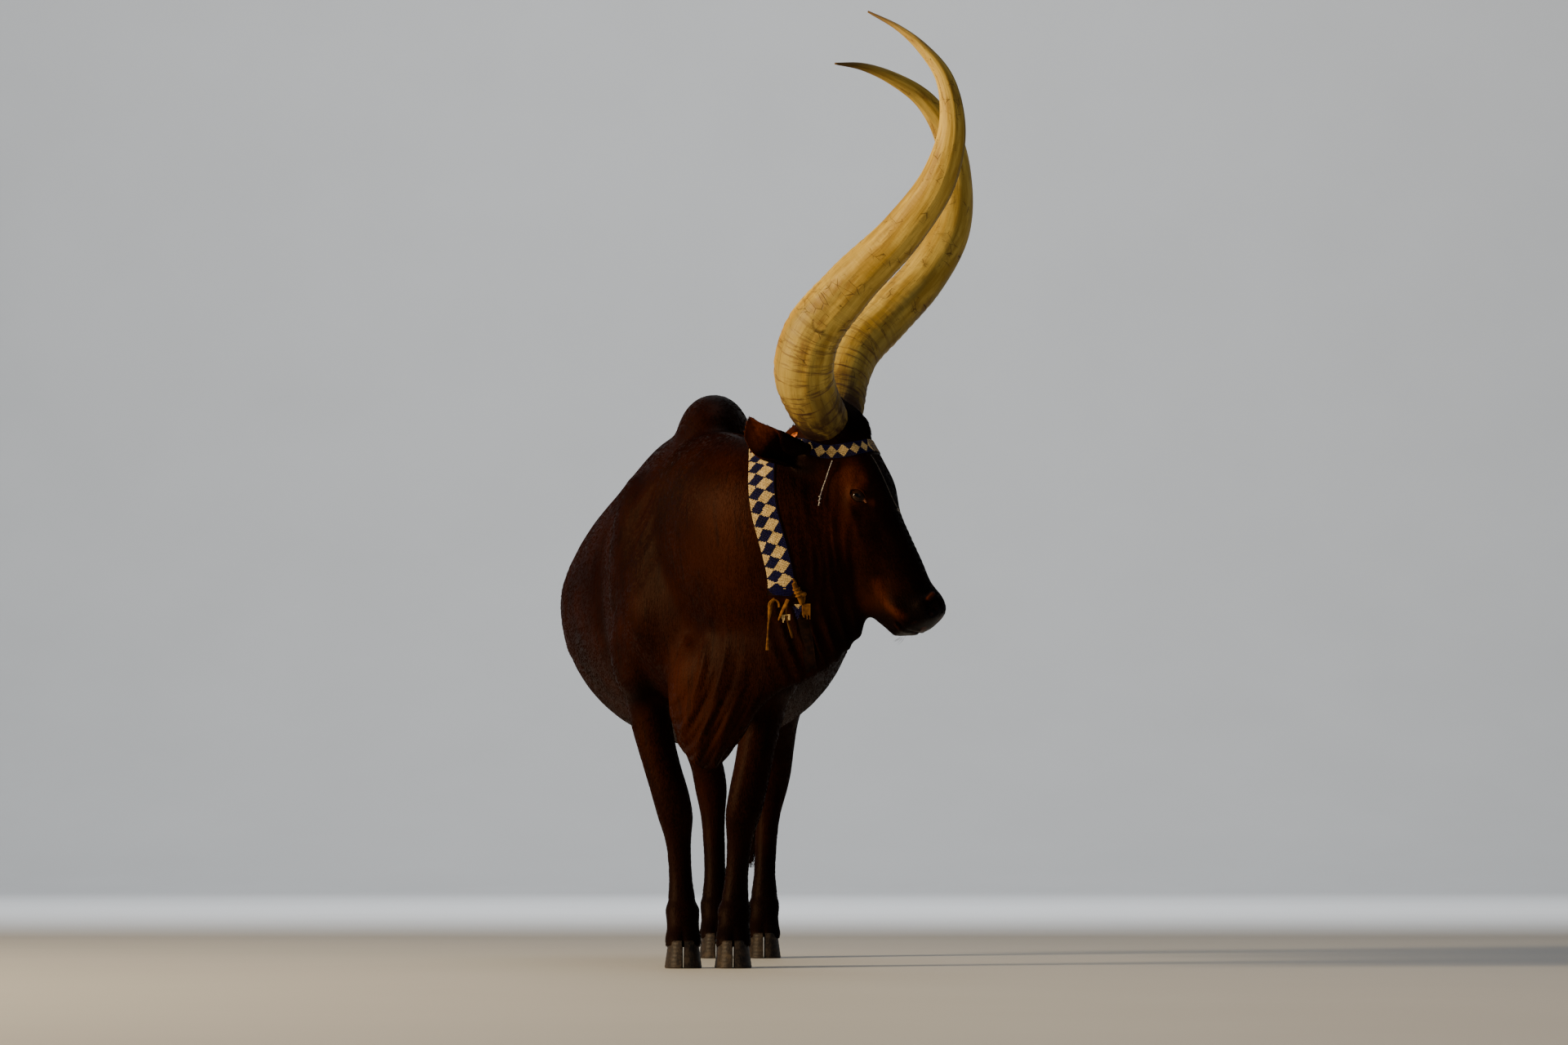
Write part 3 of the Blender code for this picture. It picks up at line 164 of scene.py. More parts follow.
# Loft rows: x, y, z of the widest place, half width, rise, drop, upper power, lower power
TORSO_ROWS = (
    (0.020, -0.830, 0.850, 0.050, 0.060, 0.070, 2.0, 2.0),
    (0.010, -0.770, 0.870, 0.140, 0.180, 0.180, 2.0, 2.0),
    (0.000, -0.640, 0.900, 0.205, 0.350, 0.265, 2.1, 2.0),
    (0.000, -0.460, 0.920, 0.230, 0.410, 0.305, 2.2, 2.2),
    (0.000, -0.280, 0.930, 0.278, 0.415, 0.340, 1.95, 2.1),
    (0.000, -0.080, 0.930, 0.345, 0.400, 0.362, 1.72, 2.0),
    (0.000, 0.150, 0.925, 0.385, 0.408, 0.370, 1.62, 2.0),
    (0.010, 0.340, 0.940, 0.355, 0.405, 0.340, 1.68, 2.05),
    (0.030, 0.520, 0.980, 0.280, 0.362, 0.275, 1.90, 2.2),
    (0.050, 0.680, 1.030, 0.205, 0.275, 0.225, 2.1, 2.2),
    (0.062, 0.790, 1.060, 0.120, 0.170, 0.150, 2.0, 2.0),
    (0.066, 0.840, 1.070, 0.045, 0.060, 0.050, 2.0, 2.0),
)
NECK_ROWS = (
    (0.000, -0.360, 1.020, 0.190, 0.275, 0.270, 2.1, 2.0),
    (0.010, -0.560, 1.050, 0.172, 0.258, 0.330, 2.1, 2.0),
    (0.040, -0.750, 1.075, 0.158, 0.225, 0.360, 2.0, 1.9),
    (0.100, -0.905, 1.085, 0.146, 0.188, 0.345, 2.0, 1.8),
    (0.190, -0.975, 1.085, 0.128, 0.160, 0.305, 2.0, 1.8),
    (0.275, -0.998, 1.090, 0.110, 0.152, 0.275, 2.0, 1.8),
    (0.340, -1.005, 1.100, 0.098, 0.145, 0.255, 2.0, 1.8),
)
DEWLAP_ROWS = (
    (0.372, -1.010, 0.950, 0.040, 0.090, 0.155, 2.0, 1.8),
    (0.310, -1.012, 0.915, 0.044, 0.100, 0.190, 2.0, 1.8),
    (0.240, -1.005, 0.880, 0.046, 0.120, 0.200, 2.0, 1.8),
    (0.175, -0.985, 0.840, 0.048, 0.130, 0.185, 2.0, 1.8),
    (0.120, -0.945, 0.780, 0.054, 0.140, 0.170, 2.0, 1.9),
    (0.055, -0.890, 0.710, 0.072, 0.140, 0.180, 2.0, 2.0),
    (0.010, -0.830, 0.680, 0.088, 0.150, 0.200, 2.0, 2.0),
    (-0.008, -0.755, 0.680, 0.092, 0.150, 0.192, 2.0, 2.0),
    (0.000, -0.670, 0.700, 0.080, 0.120, 0.115, 2.0, 2.0),
    (0.000, -0.580, 0.730, 0.060, 0.080, 0.080, 2.0, 2.0),
)
# The same in the head frame: distance to the muzzle, sideways, to the front
HEAD_ROWS = (
    (-0.070, 0.000, -0.098, 0.080, 0.048, 0.048, 2.2, 2.1),
    (-0.030, 0.000, -0.100, 0.105, 0.076, 0.066, 2.4, 2.2),
    (0.010, 0.000, -0.098, 0.112, 0.085, 0.096, 2.6, 2.2),
    (0.060, 0.000, -0.090, 0.110, 0.073, 0.150, 2.6, 2.2),
    (0.120, 0.000, -0.088, 0.108, 0.078, 0.165, 2.6, 2.2),
    (0.180, 0.000, -0.088, 0.106, 0.080, 0.160, 2.6, 2.2),
    (0.240, 0.000, -0.095, 0.093, 0.073, 0.145, 2.5, 2.2),
    (0.310, 0.000, -0.100, 0.076, 0.077, 0.122, 2.3, 2.2),
    (0.380, 0.000, -0.100, 0.067, 0.078, 0.104, 2.2, 2.2),
    (0.430, 0.000, -0.100, 0.066, 0.077, 0.094, 2.2, 2.2),
    (0.475, 0.000, -0.095, 0.070, 0.083, 0.078, 2.2, 2.2),
    (0.504, 0.000, -0.092, 0.067, 0.074, 0.060, 2.3, 2.2),
    (0.523, 0.000, -0.090, 0.050, 0.048, 0.040, 2.2, 2.2),
    (0.530, 0.000, -0.088, 0.026, 0.022, 0.024, 2.0, 2.0),
)
# Leg rows: height, x of the right leg, x of the left leg, y, half width, front, back, power
FORELEG_ROWS = (
    (0.860, -0.165, 0.165, -0.500, 0.060, 0.120, 0.110, 2.0),
    (0.740, -0.160, 0.158, -0.500, 0.062, 0.095, 0.105, 2.0),
    (0.660, -0.150, 0.145, -0.490, 0.058, 0.078, 0.088, 2.0),
    (0.590, -0.138, 0.130, -0.492, 0.053, 0.066, 0.070, 2.1),
    (0.500, -0.115, 0.112, -0.498, 0.049, 0.056, 0.056, 2.2),
    (0.430, -0.094, 0.098, -0.500, 0.048, 0.053, 0.050, 2.4),
    (0.375, -0.081, 0.087, -0.502, 0.046, 0.050, 0.048, 2.4),
    (0.310, -0.073, 0.078, -0.495, 0.034, 0.036, 0.041, 2.2),
    (0.240, -0.068, 0.072, -0.492, 0.031, 0.033, 0.038, 2.1),
    (0.185, -0.065, 0.068, -0.495, 0.034, 0.036, 0.044, 2.1),
    (0.140, -0.062, 0.065, -0.503, 0.044, 0.044, 0.050, 2.2),
    (0.100, -0.061, 0.063, -0.520, 0.041, 0.041, 0.044, 2.1),
    (0.070, -0.060, 0.062, -0.538, 0.047, 0.046, 0.046, 2.2),
    (0.050, -0.060, 0.062, -0.545, 0.046, 0.046, 0.045, 2.2),
)
HINDLEG_ROWS = (
    (1.060, -0.060, 0.180, 0.580, 0.080, 0.170, 0.160, 2.0),
    (0.950, -0.072, 0.195, 0.555, 0.105, 0.200, 0.190, 2.0),
    (0.850, -0.072, 0.203, 0.530, 0.104, 0.200, 0.195, 2.0),
    (0.740, -0.058, 0.198, 0.510, 0.085, 0.165, 0.155, 2.0),
    (0.650, -0.040, 0.184, 0.545, 0.065, 0.108, 0.108, 2.1),
    (0.565, -0.020, 0.184, 0.605, 0.051, 0.072, 0.078, 2.1),
    (0.505, 0.000, 0.181, 0.645, 0.046, 0.056, 0.066, 2.3),
    (0.455, 0.008, 0.172, 0.657, 0.045, 0.047, 0.062, 2.3),
    (0.390, 0.013, 0.163, 0.655, 0.036, 0.039, 0.046, 2.2),
    (0.300, 0.017, 0.156, 0.643, 0.032, 0.035, 0.038, 2.1),
    (0.195, 0.020, 0.152, 0.628, 0.034, 0.038, 0.044, 2.1),
    (0.140, 0.021, 0.151, 0.618, 0.044, 0.044, 0.050, 2.2),
    (0.100, 0.022, 0.150, 0.602, 0.041, 0.041, 0.044, 2.1),
    (0.070, 0.022, 0.150, 0.584, 0.047, 0.046, 0.046, 2.2),
    (0.050, 0.022, 0.150, 0.577, 0.046, 0.046, 0.045, 2.2),
)
# Masses laid over the lofts: centre and radii
MASSES = (
    ((0.014, -0.460, 1.290), (0.098, 0.195, 0.128)),
    ((-0.160, -0.470, 0.960), (0.090, 0.170, 0.270)),
    ((0.160, -0.470, 0.960), (0.090, 0.170, 0.270)),
    ((-0.168, -0.520, 0.790), (0.077, 0.150, 0.150)),
    ((0.168, -0.520, 0.790), (0.077, 0.150, 0.150)),
    ((-0.120, -0.660, 0.860), (0.085, 0.110, 0.130)),
    ((0.120, -0.660, 0.860), (0.085, 0.110, 0.130)),
    ((-0.110, 0.500, 1.170), (0.110, 0.150, 0.120)),
    ((0.175, 0.500, 1.170), (0.110, 0.150, 0.120)),
)
SHEATH_ROWS = (
    (-0.008, 0.240, 0.585, 0.034),
    (-0.010, 0.150, 0.555, 0.040),
    (-0.012, 0.085, 0.533, 0.034),
    (-0.012, 0.055, 0.515, 0.020),
)
SCROTUM_ROWS = (
    (0.075, 0.480, 0.760, 0.040),
    (0.075, 0.478, 0.700, 0.034),
    (0.075, 0.475, 0.650, 0.035),
    (0.075, 0.472, 0.600, 0.040),
    (0.075, 0.472, 0.565, 0.024),
)
TAIL_ROWS = (
    (0.064, 0.700, 1.230, 0.050),
    (0.070, 0.790, 1.215, 0.046),
    (0.078, 0.860, 1.150, 0.036),
    (0.088, 0.892, 1.020, 0.026),
    (0.098, 0.898, 0.850, 0.020),
    (0.108, 0.893, 0.680, 0.017),
    (0.112, 0.885, 0.540, 0.015),
)
SWITCH_TOP = (0.112, 0.885, 0.560)
SWITCH_BOTTOM = 0.240

# Horn centre lines: x, y, z, radius
NEAR_HORN_ROWS = (
    (0.282, -1.064, 1.286, 0.0540),
    (0.263, -1.107, 1.306, 0.0605),
    (0.240, -1.162, 1.340, 0.0650),
    (0.222, -1.212, 1.396, 0.0700),
    (0.235, -1.250, 1.468, 0.0685),
    (0.322, -1.309, 1.582, 0.0600),
    (0.447, -1.373, 1.707, 0.0500),
    (0.530, -1.428, 1.827, 0.0410),
    (0.556, -1.462, 1.933, 0.0310),
    (0.538, -1.468, 2.045, 0.0205),
    (0.487, -1.437, 2.122, 0.0130),
    (0.437, -1.398, 2.172, 0.0075),
    (0.368, -1.349, 2.219, 0.0025),
)
FAR_HORN_ROWS = (
    (0.302, -0.946, 1.286, 0.0540),
    (0.302, -0.900, 1.310, 0.0605),
    (0.310, -0.858, 1.352, 0.0640),
    (0.320, -0.815, 1.418, 0.0660),
    (0.350, -0.777, 1.490, 0.0650),
    (0.428, -0.735, 1.575, 0.0605),
    (0.524, -0.689, 1.683, 0.0555),
    (0.588, -0.649, 1.801, 0.0515),
    (0.603, -0.612, 1.920, 0.0450),
    (0.590, -0.600, 2.035, 0.0340),
    (0.535, -0.630, 2.122, 0.0250),
    (0.452, -0.679, 2.172, 0.0165),
    (0.375, -0.718, 2.195, 0.0095),
    (0.307, -0.758, 2.196, 0.0025),
)

# Ears: the way the cup looks, then x, y, z, half width from root to tip
RIGHT_EAR = ((-0.55, -0.80, -0.24), (
    (0.254, -1.070, 1.204, 0.024),
    (0.224, -1.090, 1.209, 0.031),
    (0.177, -1.118, 1.222, 0.041),
    (0.136, -1.142, 1.238, 0.044),
    (0.109, -1.157, 1.262, 0.033),
    (0.096, -1.162, 1.294, 0.003),
))
LEFT_EAR = ((0.045, 0.940, -0.280), (
    (0.282, -0.935, 1.206, 0.024),
    (0.266, -0.905, 1.216, 0.031),
    (0.240, -0.862, 1.238, 0.041),
    (0.222, -0.820, 1.258, 0.047),
    (0.211, -0.798, 1.282, 0.035),
    (0.207, -0.790, 1.308, 0.003),
))
TAG_RADIUS = 0.013
TAG_PLACE = (0.211, 1.280)

HEADBAND_ROUTE = (
    (0.080, 0.000, -0.020),
    (0.080, 0.060, -0.022),
    (0.079, 0.100, -0.040),
    (0.073, 0.110, -0.071),
    (0.066, 0.110, -0.097),
    (0.056, 0.106, -0.120),
    (0.045, 0.098, -0.137),
    (0.036, 0.084, -0.148),
    (0.030, 0.055, -0.156),
    (0.028, 0.000, -0.160),
)
STRAP_ROUTE = (
    (0.172, -1.050, 0.885),
    (0.172, -1.080, 0.914),
    (0.160, -1.090, 0.960),
    (0.149, -1.095, 1.007),
    (0.134, -1.095, 1.055),
    (0.126, -1.090, 1.100),
    (0.124, -1.075, 1.145),
    (0.127, -1.045, 1.195),
    (0.128, -0.985, 1.250),
    (0.130, -0.915, 1.262),
    (0.145, -0.845, 1.215),
    (0.172, -0.812, 1.140),
    (0.195, -0.812, 1.060),
    (0.212, -0.838, 0.970),
    (0.226, -0.885, 0.880),
    (0.236, -0.940, 0.790),
    (0.240, -0.985, 0.715),
    (0.240, -1.030, 0.715),
    (0.232, -1.060, 0.775),
    (0.220, -1.062, 0.835),
    (0.210, -1.060, 0.870),
)

# Free thongs and bead strings: route points
THONG_LONG = ((0.156, -1.064, 0.876), (0.147, -1.066, 0.866), (0.145, -1.067, 0.848),
              (0.141, -1.067, 0.812), (0.139, -1.067, 0.755))
THONG_WIDE = ((0.187, -1.070, 0.874), (0.181, -1.071, 0.861), (0.172, -1.071, 0.843),
              (0.165, -1.071, 0.825))
THONG_SHORT = ((0.185, -1.061, 0.862), (0.184, -1.061, 0.846), (0.186, -1.061, 0.826),
               (0.192, -1.061, 0.805), (0.198, -1.061, 0.784))
CHEEK_STRING = ((0.2903, -1.1175, 1.1975), (0.2837, -1.1142, 1.1800), (0.2765, -1.1114, 1.1575),
                (0.2692, -1.1095, 1.1370), (0.2623, -1.1095, 1.1140), (0.2586, -1.1100, 1.0920))
BROW_STRING = ((0.3815, -1.1018, 1.2125), (0.3922, -1.1018, 1.1962), (0.4077, -1.1040, 1.1649),
               (0.4234, -1.0990, 1.1304), (0.4338, -1.0895, 1.1082), (0.4512, -1.0645, 1.0790))
KNOT_ROWS = ((0.2000, -1.0850, 0.9120, 0.0048), (0.2100, -1.0775, 0.8930, 0.0078),
             (0.2160, -1.0730, 0.8780, 0.0068), (0.2200, -1.0695, 0.8620, 0.0044))
# Scraps of beadwork: left, right, lowest, highest and colour
SCRAPS = ((0.199, 0.222, 0.829, 0.858, "navy"), (0.171, 0.182, 0.821, 0.838, "cream"),
          (0.186, 0.194, 0.824, 0.838, "cream"), (0.204, 0.218, 0.853, 0.862, "cream"))
# Whiskers in the head frame: middle, the way they point and how many on each side
WHISKERS = (((0.505, 0.020, -0.143), (0.1, 0.1, -0.9), 7), ((0.500, 0.050, -0.125), (0.4, 0.5, -0.7), 10),
            ((0.060, 0.105, -0.112), (0.5, 0.6, 0.5), 9))
THONG_DIAMETER = 0.006
STRING_DIAMETER = 0.0022

FLESH_NODES = ("torso", "neck", "head", "dewlap", "hump", "foreleg_right", "foreleg_left",
               "hindleg_right", "hindleg_left", "tail", "scrotum", "sheath", "ear_right", "ear_left")


# Small helpers

def unit(vector):
    vector = np.asarray(vector, float)
    return vector / np.linalg.norm(vector)


def units(vectors):
    return vectors / np.maximum(np.linalg.norm(vectors, axis=1), 1e-9)[:, None]


def head_point(place):
    forward, right, front = place
    return POLL + forward * TO_MUZZLE + right * TO_RIGHT + front * TO_FRONT


def in_head_frame(points):
    rel = points - POLL
    return np.stack([rel @ TO_MUZZLE, rel @ TO_RIGHT, rel @ TO_FRONT], axis=1)


def along(rows, count):
    """Rows read evenly along a smooth curve through the given rows, whose first three columns are places."""
    rows = np.asarray(rows, float)
    knots = np.concatenate([[0.0], np.cumsum(np.linalg.norm(np.diff(rows[:, :3], axis=0), axis=1))])
    slopes = np.gradient(rows, knots, axis=0)
    at = np.linspace(0.0, knots[-1], count)
    left = np.clip(np.searchsorted(knots, at, side="right") - 1, 0, len(knots) - 2)
    span = (knots[left + 1] - knots[left])[:, None]
    t = (at - knots[left])[:, None] / span
    start = (2 * t**3 - 3 * t**2 + 1) * rows[left] + (t**3 - 2 * t**2 + t) * slopes[left] * span
    end = (3 * t**2 - 2 * t**3) * rows[left + 1] + (t**3 - t**2) * slopes[left + 1] * span
    return start + end


def alone(thing):
    """Selects one piece and nothing else."""
    bpy.ops.object.select_all(action="DESELECT")
    thing.select_set(True)
    bpy.context.view_layer.objects.active = thing


def apply_step(thing, kind, **settings):
    """Adds one modifier and applies it."""
    alone(thing)
    step = thing.modifiers.new(kind.lower(), kind)
    for key, value in settings.items():
        setattr(step, key, value)
    bpy.ops.object.modifier_apply(modifier=step.name)


def face_outwards(thing):
    alone(thing)
    bpy.ops.object.mode_set(mode="EDIT")
    bpy.ops.mesh.select_all(action="SELECT")
    bpy.ops.mesh.normals_make_consistent(inside=False)
    bpy.ops.object.mode_set(mode="OBJECT")


def mesh_object(name, points, faces, outward=True):
    mesh = bpy.data.meshes.new(name)
    if isinstance(faces, np.ndarray):
        mesh.from_pydata(points, [], faces)
    else:
        mesh.from_pydata([tuple(p) for p in points], [], [tuple(int(i) for i in f) for f in faces])
    made = bpy.data.objects.new(name, mesh)
    bpy.context.scene.collection.objects.link(made)
    if outward:
        face_outwards(made)
    return made


def loft(name, rings, closed=False):
    """A skin through rings of equal length, capped at both ends unless it closes on itself."""
    count, size = len(rings), len(rings[0])
    points = np.concatenate(rings)
    faces = []
    for k in range(count if closed else count - 1):
        a, b = k * size, (k + 1) % count * size
        for i in range(size):
            j = (i + 1) % size
            faces.append((a + i, a + j, b + j, b + i))
    if not closed:
        faces.append(tuple(range(size - 1, -1, -1)))
        faces.append(tuple((count - 1) * size + i for i in range(size)))
    return mesh_object(name, points, faces)


def section(row, side, up, count=RING_POINTS):
    """A superellipse ring; the row is centre, half width, rise, drop, upper power, lower power."""
    turn = np.linspace(0.0, 2 * math.pi, count, endpoint=False)
    c, s = np.cos(turn), np.sin(turn)
    power = np.where(s > 0, row[6], row[7])
    across = np.sign(c) * np.abs(c) ** (2 / power) * row[3]
    high = np.sign(s) * np.abs(s) ** (2 / power) * np.where(s > 0, row[4], row[5])
    return row[:3] + across[:, None] * side + high[:, None] * up


def carried_frames(points):
    """Directions ahead, to the side and over along a line, carried without twisting."""
    frames, side = [], None
    for k in range(len(points)):
        ahead = unit(points[min(k + 1, len(points) - 1)] - points[max(k - 1, 0)])
        if side is None:
            side = unit(np.cross(ahead, (0.31, 0.17, 0.93)))
        side = unit(side - ahead * (side @ ahead))
        frames.append((ahead, side, np.cross(ahead, side)))
    return frames


def sweep(name, rows, sides, count=None, flat=1.0):
    """A tube along x, y, z, radius rows; flat below 1 makes it a strip."""
    rows = along(rows, count) if count else np.asarray(rows, float)
    turn = np.linspace(0.0, 2 * math.pi, sides, endpoint=False)[:, None]
    rings = []
    for row, (_, side, over) in zip(rows, carried_frames(rows[:, :3])):
        rings.append(row[:3] + row[3] * (np.cos(turn) * side + flat * np.sin(turn) * over))
    return loft(name, rings)


def ball(name, centre, radii, subdivisions=4):
    bpy.ops.mesh.primitive_ico_sphere_add(subdivisions=subdivisions, radius=1.0, location=centre, scale=radii)
    made = bpy.context.object
    made.name = name
    bpy.ops.object.transform_apply(location=True, rotation=True, scale=True)
    return made


def joined(name, things):
    bpy.ops.object.select_all(action="DESELECT")
    for thing in things:
        thing.select_set(True)
    bpy.context.view_layer.objects.active = things[0]
    bpy.ops.object.join()
    things[0].name = name
    return things[0]


def boolean(thing, other, operation):
    """One applied Boolean with another closed mesh, which is then removed."""
    apply_step(thing, "BOOLEAN", object=other, operation=operation, solver="MANIFOLD")
    bpy.data.objects.remove(other, do_unlink=True)


def coordinates(mesh):
    points = np.empty(len(mesh.vertices) * 3)
    mesh.vertices.foreach_get("co", points)
    return points.reshape(-1, 3)


def move_points(mesh, points):
    mesh.vertices.foreach_set("co", points.ravel())
    mesh.update()


def point_normals(mesh):
    normals = np.empty(len(mesh.vertices) * 3)
    mesh.vertex_normals.foreach_get("vector", normals)
    return normals.reshape(-1, 3)


def edge_ends(mesh):
    ends = np.empty(len(mesh.edges) * 2, int)
    mesh.edges.foreach_get("vertices", ends)
    return ends.reshape(-1, 2)


def relax(points, edges, weight, rounds):
    """Laplacian smoothing with an own weight for each point."""
    size = len(points)
    degree = np.bincount(edges.ravel(), minlength=size)[:, None]
    a, b = edges[:, 0], edges[:, 1]
    for _ in range(rounds):
        total = np.empty_like(points)
        for k in range(3):
            total[:, k] = np.bincount(a, points[b, k], size) + np.bincount(b, points[a, k], size)
        points = points + weight[:, None] * (total / degree - points)
    return points


def give(mesh, name, values):
    """A number or a direction stored on every point, for the material to read."""
    values = np.asarray(values, np.float32)
    kind = "FLOAT" if values.ndim == 1 else "FLOAT_VECTOR"
    layer = mesh.attributes.new(name, kind, "POINT")
    layer.data.foreach_set("value" if values.ndim == 1 else "vector", values.ravel())


def smooth(thing, degrees=180):
    alone(thing)
    bpy.ops.object.shade_smooth_by_angle(angle=math.radians(degrees))


def band_step(value, low, high):
    """0 below low, 1 above high, eased between."""
    t = np.clip((value - low) / (high - low), 0, 1)
    return t * t * (3 - 2 * t)


# Shader maths

class Wire:
    """A socket of a material on which + - * and / work."""

    def __init__(self, look, socket):
        self.look, self.socket = look, socket

    def maths(self, operation, *others):
        return self.look.node("ShaderNodeMath", {"operation": operation}, *([self] + list(others)))

    def __add__(self, other):
        return self.maths("ADD", other)

    def __mul__(self, other):
        return self.maths("MULTIPLY", other)

    def __sub__(self, other):
        return self.maths("SUBTRACT", other)

    def __rsub__(self, other):
        return self.look.node("ShaderNodeMath", {"operation": "SUBTRACT"}, other, self)

    def __truediv__(self, other):
        return self.maths("DIVIDE", other)

    __radd__ = __add__
    __rmul__ = __mul__

    def between(self, low, high):
        """0 below low and 1 above high."""
        eased = {"interpolation_type": "SMOOTHSTEP"}
        return self.look.node("ShaderNodeMapRange", eased, self, low, high, 0.0, 1.0)


class Look:
    """One material with its Principled shader."""

    def __init__(self, name, **fixed):
        self.material = bpy.data.materials.new(name)
        self.material.use_nodes = True
        self.tree = self.material.node_tree
        self.shader = self.tree.nodes["Principled BSDF"]
        for key, value in fixed.items():
            self.shader.inputs[key.replace("_", " ")].default_value = value

    def node(self, kind, settings, *values, out=0):
        made = self.tree.nodes.new(kind)
        for key, value in settings.items():
            setattr(made, key, value)
        for socket, value in zip(made.inputs, values):
            self.feed(socket, value)
        return Wire(self, made.outputs[out])

    def feed(self, socket, value):
        if isinstance(value, Wire):
            self.tree.links.new(value.socket, socket)
        elif value is not None:
            socket.default_value = value

    def set(self, **wires):
        for key, value in wires.items():
            self.feed(self.shader.inputs[key.replace("_", " ")], value)

    def here(self):
        return self.node("ShaderNodeTexCoord", {}, out=3)

    def attribute(self, name, vector=False):
        return self.node("ShaderNodeAttribute", {"attribute_name": name}, out=1 if vector else 2)

    def stretched(self, place, scale):
        return self.node("ShaderNodeMapping", {}, place, None, None, scale)

    def noise(self, place, scale, detail=3.0, rough=0.55, twist=0.0):
        return self.node("ShaderNodeTexNoise", {}, place, None, scale, detail, rough, 2.0, 0.0, 1.0, twist)

    def cells(self, place, scale, feature="F1", out=0):
        return self.node("ShaderNodeTexVoronoi", {"feature": feature}, place, None, scale, out=out)

    def mix(self, first, second, share):
        made = self.tree.nodes.new("ShaderNodeMix")
        made.data_type = "RGBA"
        self.feed(made.inputs[0], share)
        for socket, value in zip((made.inputs[6], made.inputs[7]), (first, second)):
            self.feed(socket, (*value, 1.0) if isinstance(value, tuple) else value)
        return Wire(self, made.outputs[2])

    def bumps(self, height, strength, distance, under=None):
        made = self.tree.nodes.new("ShaderNodeBump")
        made.inputs["Strength"].default_value = strength
        made.inputs["Distance"].default_value = distance
        self.feed(made.inputs["Height"], height)
        if under is not None:
            self.feed(made.inputs["Normal"], under)
        return Wire(self, made.outputs[0])


# Flesh

def level_ring(k, rows):
    """An upright ring square to the level direction of the path."""
    ahead = rows[min(k + 1, len(rows) - 1), :3] - rows[max(k - 1, 0), :3]
    ahead = unit((ahead[0], ahead[1], 0.0))
    return section(rows[k], np.array([-ahead[1], ahead[0], 0.0]), np.array([0.0, 0.0, 1.0]))


def leg_mass(rows, column):
    """A leg of level rings; the column is 1 for the right leg and 2 for the left."""
    table = np.array([(r[column], r[3], r[0], r[4], r[5], r[6], r[7], r[7]) for r in rows])
    side, ahead = np.array([1.0, 0.0, 0.0]), np.array([0.0, -1.0, 0.0])
    return loft("leg", [section(row, side, ahead, 28) for row in along(table, 48)])


def flesh_mass():
    """All of the flesh but the ears as one closed mesh of small even faces."""
    across, up = np.array([1.0, 0.0, 0.0]), np.array([0.0, 0.0, 1.0])
    pieces = [loft("trunk", [section(row, across, up) for row in along(TORSO_ROWS, 44)])]
    skull = [np.concatenate([head_point(row[:3]), row[3:]]) for row in along(HEAD_ROWS, 40)]
    pieces.append(loft("skull", [section(row, TO_RIGHT, TO_FRONT) for row in skull]))
    for rows in (along(NECK_ROWS, 36), along(DEWLAP_ROWS, 36)):
        pieces.append(loft("neck_mass", [level_ring(k, rows) for k in range(len(rows))]))
    for column in (1, 2):
        pieces += [leg_mass(FORELEG_ROWS, column), leg_mass(HINDLEG_ROWS, column)]
    pieces += [sweep("tube", rows, 20, 20) for rows in (SHEATH_ROWS, SCROTUM_ROWS, TAIL_ROWS)]
    pieces += [ball("mass", centre, radii) for centre, radii in MASSES]
    for side in (1, -1):
        pieces.append(ball("ear_root", head_point((0.045, side * 0.080, -0.158)), (0.034, 0.034, 0.034)))
        pieces.append(ball("orbit", head_point((0.180, side * 0.086, -0.085)), (0.037, 0.037, 0.037)))
        pieces.append(ball("cheek", head_point((0.190, side * 0.058, -0.185)), (0.060, 0.040, 0.075)))
        pieces.append(ball("nostril_wing", head_point((0.480, side * 0.050, -0.062)), (0.030, 0.026, 0.032)))
    body = joined("hide_skin", pieces)
    apply_step(body, "REMESH", mode="VOXEL", voxel_size=VOXEL)
    return body


def swell(local, centre, radius):
    """1 at a centre, falling to near 0 a radius away."""
    far = np.linalg.norm((local - np.array(centre)) / np.array(radius), axis=1)
    return np.exp(-2.2 * far**2)


def groove(local, route, width):
    """1 along a line through the route's points, falling to 0 over a width."""
    fine = along(route, 30)
    near = np.linalg.norm(local - fine.mean(axis=0), axis=1) < np.ptp(fine, axis=0).max() + 4 * width
    depth = np.zeros(len(local))
    some, far = local[near], np.full(near.sum(), 1e9)
    for a, b in zip(fine[:-1], fine[1:]):
        step = b - a
        t = np.clip((some - a) @ step / (step @ step), 0, 1)[:, None]
        far = np.minimum(far, np.linalg.norm(some - a - t * step, axis=1))
    depth[near] = np.exp(-2.2 * (far / width) ** 2)
    return depth


def on_side(side, spot):
    """A place given by the body's middle and how far to the side, on one side or the other."""
    middle, reach, y, z = spot
    return middle + side * reach, y, z


def in_head(side, spot):
    """The same for a place in the head frame, whose second number is to the side."""
    f, r, d = spot
    return f, side * r, d


def head_line(side, route):
    return [in_head(side, spot) for spot in route]


def main_forms(points, normals):
    """Hollows of the body, and the head's brow, hollows and lips, as the solids have them."""
    push = np.zeros(len(points))
    local = in_head_frame(points)
    for side in (1, -1):
        for height, spot, radii in BODY_SWELLS:
            push += height * swell(points, on_side(side, spot), radii)
        for height, spot, radii in HEAD_SWELLS:
            push += height * swell(local, in_head(side, spot), radii)
    push += 0.006 * swell(local, (0.500, 0.0, -0.150), (0.035, 0.05, 0.020))
    return points + push[:, None] * normals


def wave(phase):
    """Rounded ridges with narrow creases between them, from -1 to 1."""
    return 1.0 - 2.0 * np.abs(np.cos(phase / 2)) ** 3.0


